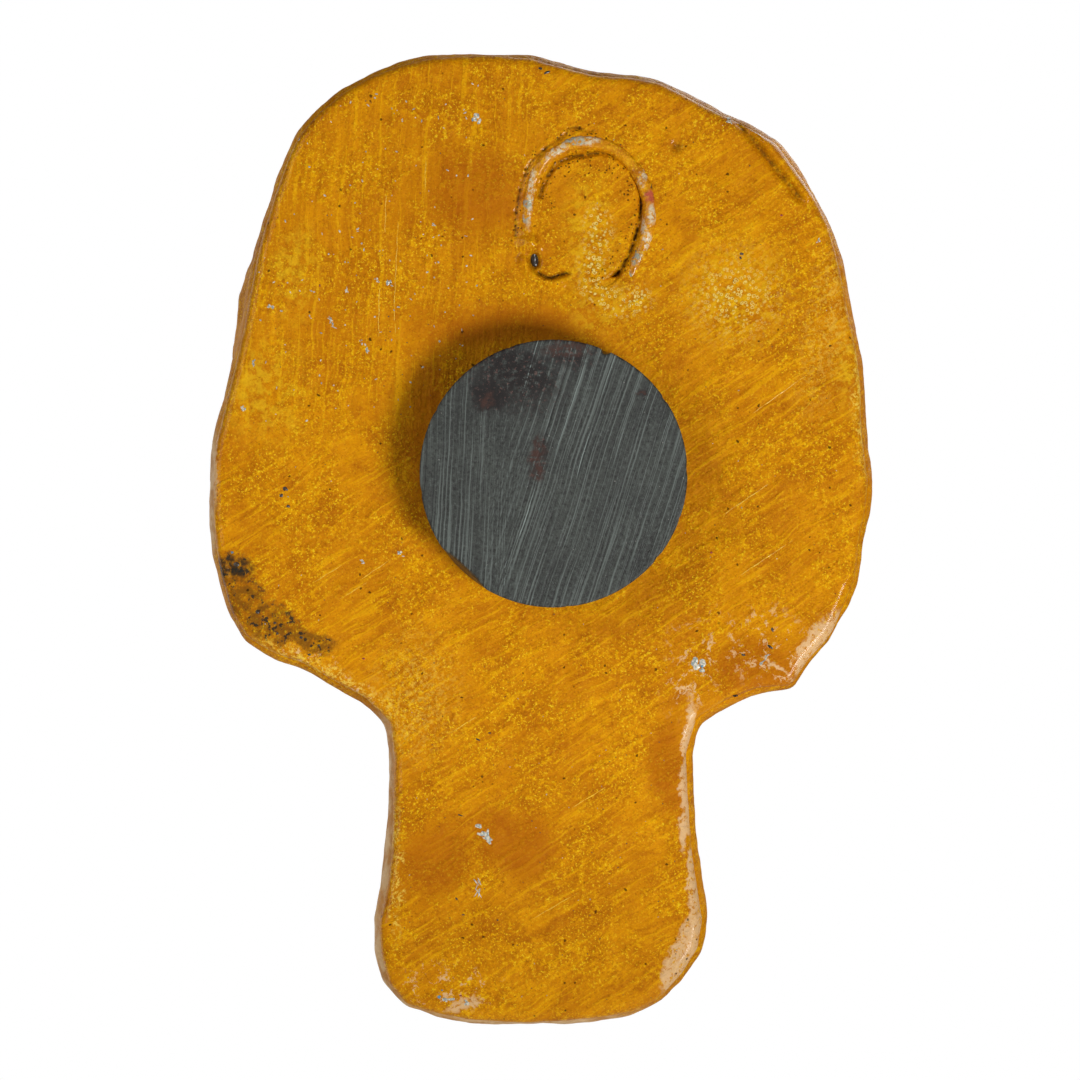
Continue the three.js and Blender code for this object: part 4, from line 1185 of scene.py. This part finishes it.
def flake_finish(name, first, second, roughness=0.45):
    """The look of a kind of fleck, mottled between two colours."""
    material, tree, shader, place = new_finish(name, roughness, 0.3, 0.1)
    grain = speckle(tree, place, 6.0, 3.0)
    give(tree, shader.inputs["Base Color"], blend(tree, span(tree, grain, 0.4, 0.6), colour(first),
        colour(second)))
    relief(tree, shader, grain, 0.03)
    return material


white_flake = flake_finish("white_flake", "dcd3bd", "8f9a98")
soot_flake = flake_finish("soot_flake", "241c14", "4a3a28")
blue_flake = flake_finish("blue_flake", "5f8fae", "2f6f86")
red_flake = flake_finish("red_flake", "b4432e", "8a2a1c")

dust = random.Random(11)


def strewn(count, wide, tall, long, broad):
    """Small flakes over a part of the back, from the least to the most of each measure."""
    parts = []
    for i in range(count):
        x, z = dust.uniform(*wide), dust.uniform(*tall)
        parts.append((x, z, dust.uniform(*long), dust.uniform(*broad), dust.uniform(0, 180)))
    return parts


def above(parts, lowest):
    """Only the flakes that lie on the back itself, above a height."""
    return [part for part in parts if on_back(*part[:2]) and on_back(*part[:2]).y > lowest]


def crumbled(chips):
    """Each chip as a handful of smaller flakes that touch, so that its edge is ragged."""
    parts = []
    for x, z, long, wide, turn in chips:
        c, s = math.cos(math.radians(turn)), math.sin(math.radians(turn))
        for i in range(7):
            u, v = dust.uniform(-0.42, 0.42) * long, dust.uniform(-0.42, 0.42) * wide
            parts.append((x + u * c - v * s, z + u * s + v * c, long * dust.uniform(0.25, 0.6),
                          wide * dust.uniform(0.4, 0.8), turn + dust.uniform(-50, 50)))
    return parts


white_spots = [
    (5.75, 27.0, 1.0, 0.5, 96), (-13.1, 26.7, 0.75, 0.3, 15), (5.2, -27.1, 1.8, 0.7, 40),
    (5.7, -31.2, 0.3, 1.4, 0), (14.4, -6.6, 0.4, 0.3, 20), (11.5, -6.0, 0.6, 0.28, 35),
    (-11.1, -14.4, 1.5, 1.0, 30), (-15.8, -14.1, 1.4, 0.16, -55), (21.3, 12.6, 0.5, 0.3, 30),
    (13.3, 14.6, 0.45, 0.25, 60), (9.0, 18.8, 0.35, 0.22, 10), (23.4, 5.0, 0.6, 0.3, 70),
    (7.9, -39.6, 0.9, 0.4, 20), (6.6, -39.9, 0.6, 0.4, 60), (22.6, 8.4, 0.3, 0.5, 0),
    (-20.0, 17.6, 0.45, 0.2, 120), (12.3, 14.4, 0.7, 0.35, 20), (15.6, 13.9, 0.5, 0.25, 70),
    (14.2, 9.6, 0.9, 0.3, 50), (16.7, 11.4, 1.2, 0.2, 62)]
white_spots = crumbled(white_spots)
white_spots += strewn(150, (5.5, 22.5), (4.0, 29.5), (0.1, 0.36), (0.08, 0.2))
white_spots += strewn(70, (-22.0, 22.0), (-14.0, 28.0), (0.07, 0.2), (0.06, 0.12))
white_spots += strewn(36, (-9.5, 11.0), (-39.5, -16.0), (0.07, 0.18), (0.06, 0.12))
soot_spots = [
    (0.5, 30.3, 0.8, 0.3, -30), (1.0, 30.6, 0.4, 0.3, 20), (-14.2, 16.6, 0.35, 0.3, 0),
    (23.9, -6.8, 0.55, 0.5, 0), (22.3, -10.4, 0.4, 0.35, 0), (21.0, -11.2, 0.35, 0.25, 0),
    (20.8, -12.0, 0.3, 0.3, 0), (19.0, -12.3, 0.32, 0.28, 0), (17.7, -12.9, 0.3, 0.25, 0),
    (18.4, -13.6, 0.45, 0.25, 10), (-16.5, -11.7, 0.55, 0.25, 70), (-16.3, -13.0, 0.7, 0.3, 40),
    (-14.3, -13.6, 0.4, 0.25, 15), (-13.7, -16.7, 0.45, 0.22, 0), (20.2, -1.1, 0.5, 0.4, 30),
    (20.5, -1.6, 0.45, 0.35, 0), (20.0, -2.4, 0.4, 0.3, 0), (5.7, -20.0, 0.5, 0.2, 30),
    (4.8, -19.5, 0.3, 0.18, 0), (7.0, -25.7, 0.6, 0.14, 20), (7.3, -32.0, 0.35, 0.2, 40),
    (6.8, -33.2, 0.3, 0.18, 0), (4.2, -33.6, 0.25, 0.16, 0), (-14.1, 16.3, 0.3, 0.2, 60)]
soot_spots += strewn(120, (-22.0, 23.0), (-12.0, 29.0), (0.07, 0.17), (0.06, 0.13))
soot_spots += strewn(60, (-9.5, 11.5), (-40.0, -14.0), (0.07, 0.18), (0.06, 0.13))
flecks("white_flecks", above(white_spots, -5.2), white_flake, "painted_pulp", 3)
flecks("soot_flecks", above(soot_spots, -5.6), soot_flake, "painted_pulp", 4)
flecks("blue_flecks", [
    (8.6, -39.4, 0.35, 0.3, 0), (8.4, -38.9, 0.25, 0.2, 0), (24.2, -5.9, 0.3, 0.25, 0),
    (6.1, 26.7, 0.2, 0.35, 0), (-11.2, -14.5, 0.35, 0.3, 0), (-10.6, -13.9, 0.25, 0.2, 0)], blue_flake,
    "painted_pulp", 5)
flecks("red_flecks", [(17.6, 14.2, 0.3, 0.14, 80), (14.3, -13.9, 0.3, 0.2, 0), (7.0, -39.3, 0.28, 0.2, 0),
                      (-11.9, -5.9, 0.3, 0.2, 0), (-17.2, 19.5, 0.3, 0.2, 0)], red_flake, "painted_pulp", 6)


def ridges(name, lines, width, material):
    """Thin ridges of paint along the back."""
    curve = bpy.data.curves.new(name, "CURVE")
    curve.dimensions = "3D"
    curve.bevel_depth = width / 2 * MM
    curve.bevel_resolution = 1
    curve.use_fill_caps = True
    for line in lines:
        points = []
        for (ax, az), (bx, bz) in zip(line, line[1:]):
            count = max(2, int(math.dist((ax, az), (bx, bz)) / 0.4))
            points += [(ax + (bx - ax) * i / count, az + (bz - az) * i / count) for i in range(count)]
        points.append(line[-1])
        made = curve.splines.new("POLY")
        made.points.add(len(points) - 1)
        for i, (x, z) in enumerate(points):
            ground = on_back(x + 0.04 * math.sin(i * 1.7), z)
            y = ground.y if ground else -4.6
            made.points[i].co = (x * MM + 0.00003 * math.sin(i * 1.7), (y - width * 0.22) * MM, z * MM, 1)
            swollen = math.sin(math.pi * i / (len(points) - 1)) * (0.7 + 0.3 * math.sin(i * 2.3))
            made.points[i].radius = 0.25 + 0.75 * swollen
    piece = bpy.data.objects.new(name, curve)
    bpy.context.scene.collection.objects.link(piece)
    return finished(as_mesh(piece), material, "painted_pulp")


bright_ridge = flake_finish("bright_ochre_ridge", "f2c21c", "d99a10", 0.3)
ridges("brush_ridges", [
    [(11.6, 21.2), (12.0, 12.6), (11.8, 8.6)], [(12.6, 22.0), (12.7, 17.5)], [(13.1, 15.0), (13.2, 9.5)],
    [(9.6, 24.5), (9.7, 20.4)], [(15.2, -8.4), (11.8, -6.1)], [(16.4, -9.6), (13.8, -8.0)],
    [(18.8, -8.6), (15.2, -6.4)], [(-12.0, -3.6), (-17.0, -0.2)], [(-14.2, 4.0), (-19.8, 8.0)],
    [(-13.2, -8.2), (-18.6, -4.6)], [(8.2, -19.8), (5.4, -18.0)], [(2.4, -34.0), (-2.4, -31.2)],
    [(-0.6, -25.6), (-4.6, -23.2)]], 0.13, bright_ridge)


# ---- The floor, the lights and the camera --------------------------------------------------
# A small pale table below the plaque, which hangs clear of it; a big soft window low on one
# side of the back, a paler one on the other, and the same again for the face.

bpy.ops.object.select_all(action="DESELECT")
bpy.ops.mesh.primitive_cylinder_add(vertices=96, radius=0.14, depth=0.004, location=(0, 0, -0.09))
floor = bpy.context.object
floor.name = floor.data.name = "floor"
pale, tree, shader, place = new_finish("pale_table", 0.7)
give(tree, shader.inputs["Base Color"], blend(tree, span(tree, speckle(tree, place, 0.02, 3.0), 0.3, 0.7),
    colour("eceae6"), colour("f4f2ee")))
floor.data.materials.append(pale)


def window(name, place, size, power, warmth=(1, 1, 1)):
    """A square soft light that looks at the plaque's middle."""
    bpy.ops.object.light_add(type="AREA", location=place)
    light = bpy.context.object
    light.name = light.data.name = name
    light.data.shape = "RECTANGLE"
    light.data.size = light.data.size_y = size
    light.data.energy = power
    light.data.color = warmth
    light.rotation_euler = (-Vector(place)).to_track_quat("-Z", "Y").to_euler()


window("window_back_low", (-0.29, 0.46, -0.19), 0.16, 2.6)
window("window_back_side", (0.44, 0.42, 0.14), 0.4, 1.3)
window("window_face", (-0.26, -0.46, 0.34), 0.5, 2.8)
window("window_face_side", (0.42, -0.44, -0.02), 0.5, 1.0)

world = bpy.data.worlds.new("white_room")
bpy.context.scene.world = world
world.use_nodes = True
sky = world.node_tree
sky.nodes.clear()
seen = sky.nodes.new("ShaderNodeLightPath").outputs["Is Camera Ray"]
room = node(sky, "Background", (1, 1, 1, 1), 0.11)
paper = node(sky, "Background", (1, 1, 1, 1), 1.0)
both = node(sky, "MixShader", seen, room.outputs[0], paper.outputs[0])
give(sky, sky.nodes.new("ShaderNodeOutputWorld").inputs["Surface"], both.outputs[0])
bpy.context.scene.view_settings.view_transform = "Standard"

DISTANCE = 0.45
bpy.ops.object.camera_add(location=(0.00101, DISTANCE, -0.00496), rotation=(math.pi / 2, 0, math.pi))
camera = bpy.context.object
camera.name = camera.data.name = "camera"
camera.data.sensor_width = 36
camera.data.lens = 36 * DISTANCE / 0.0806
camera.data.clip_start = 0.01
bpy.context.scene.camera = camera
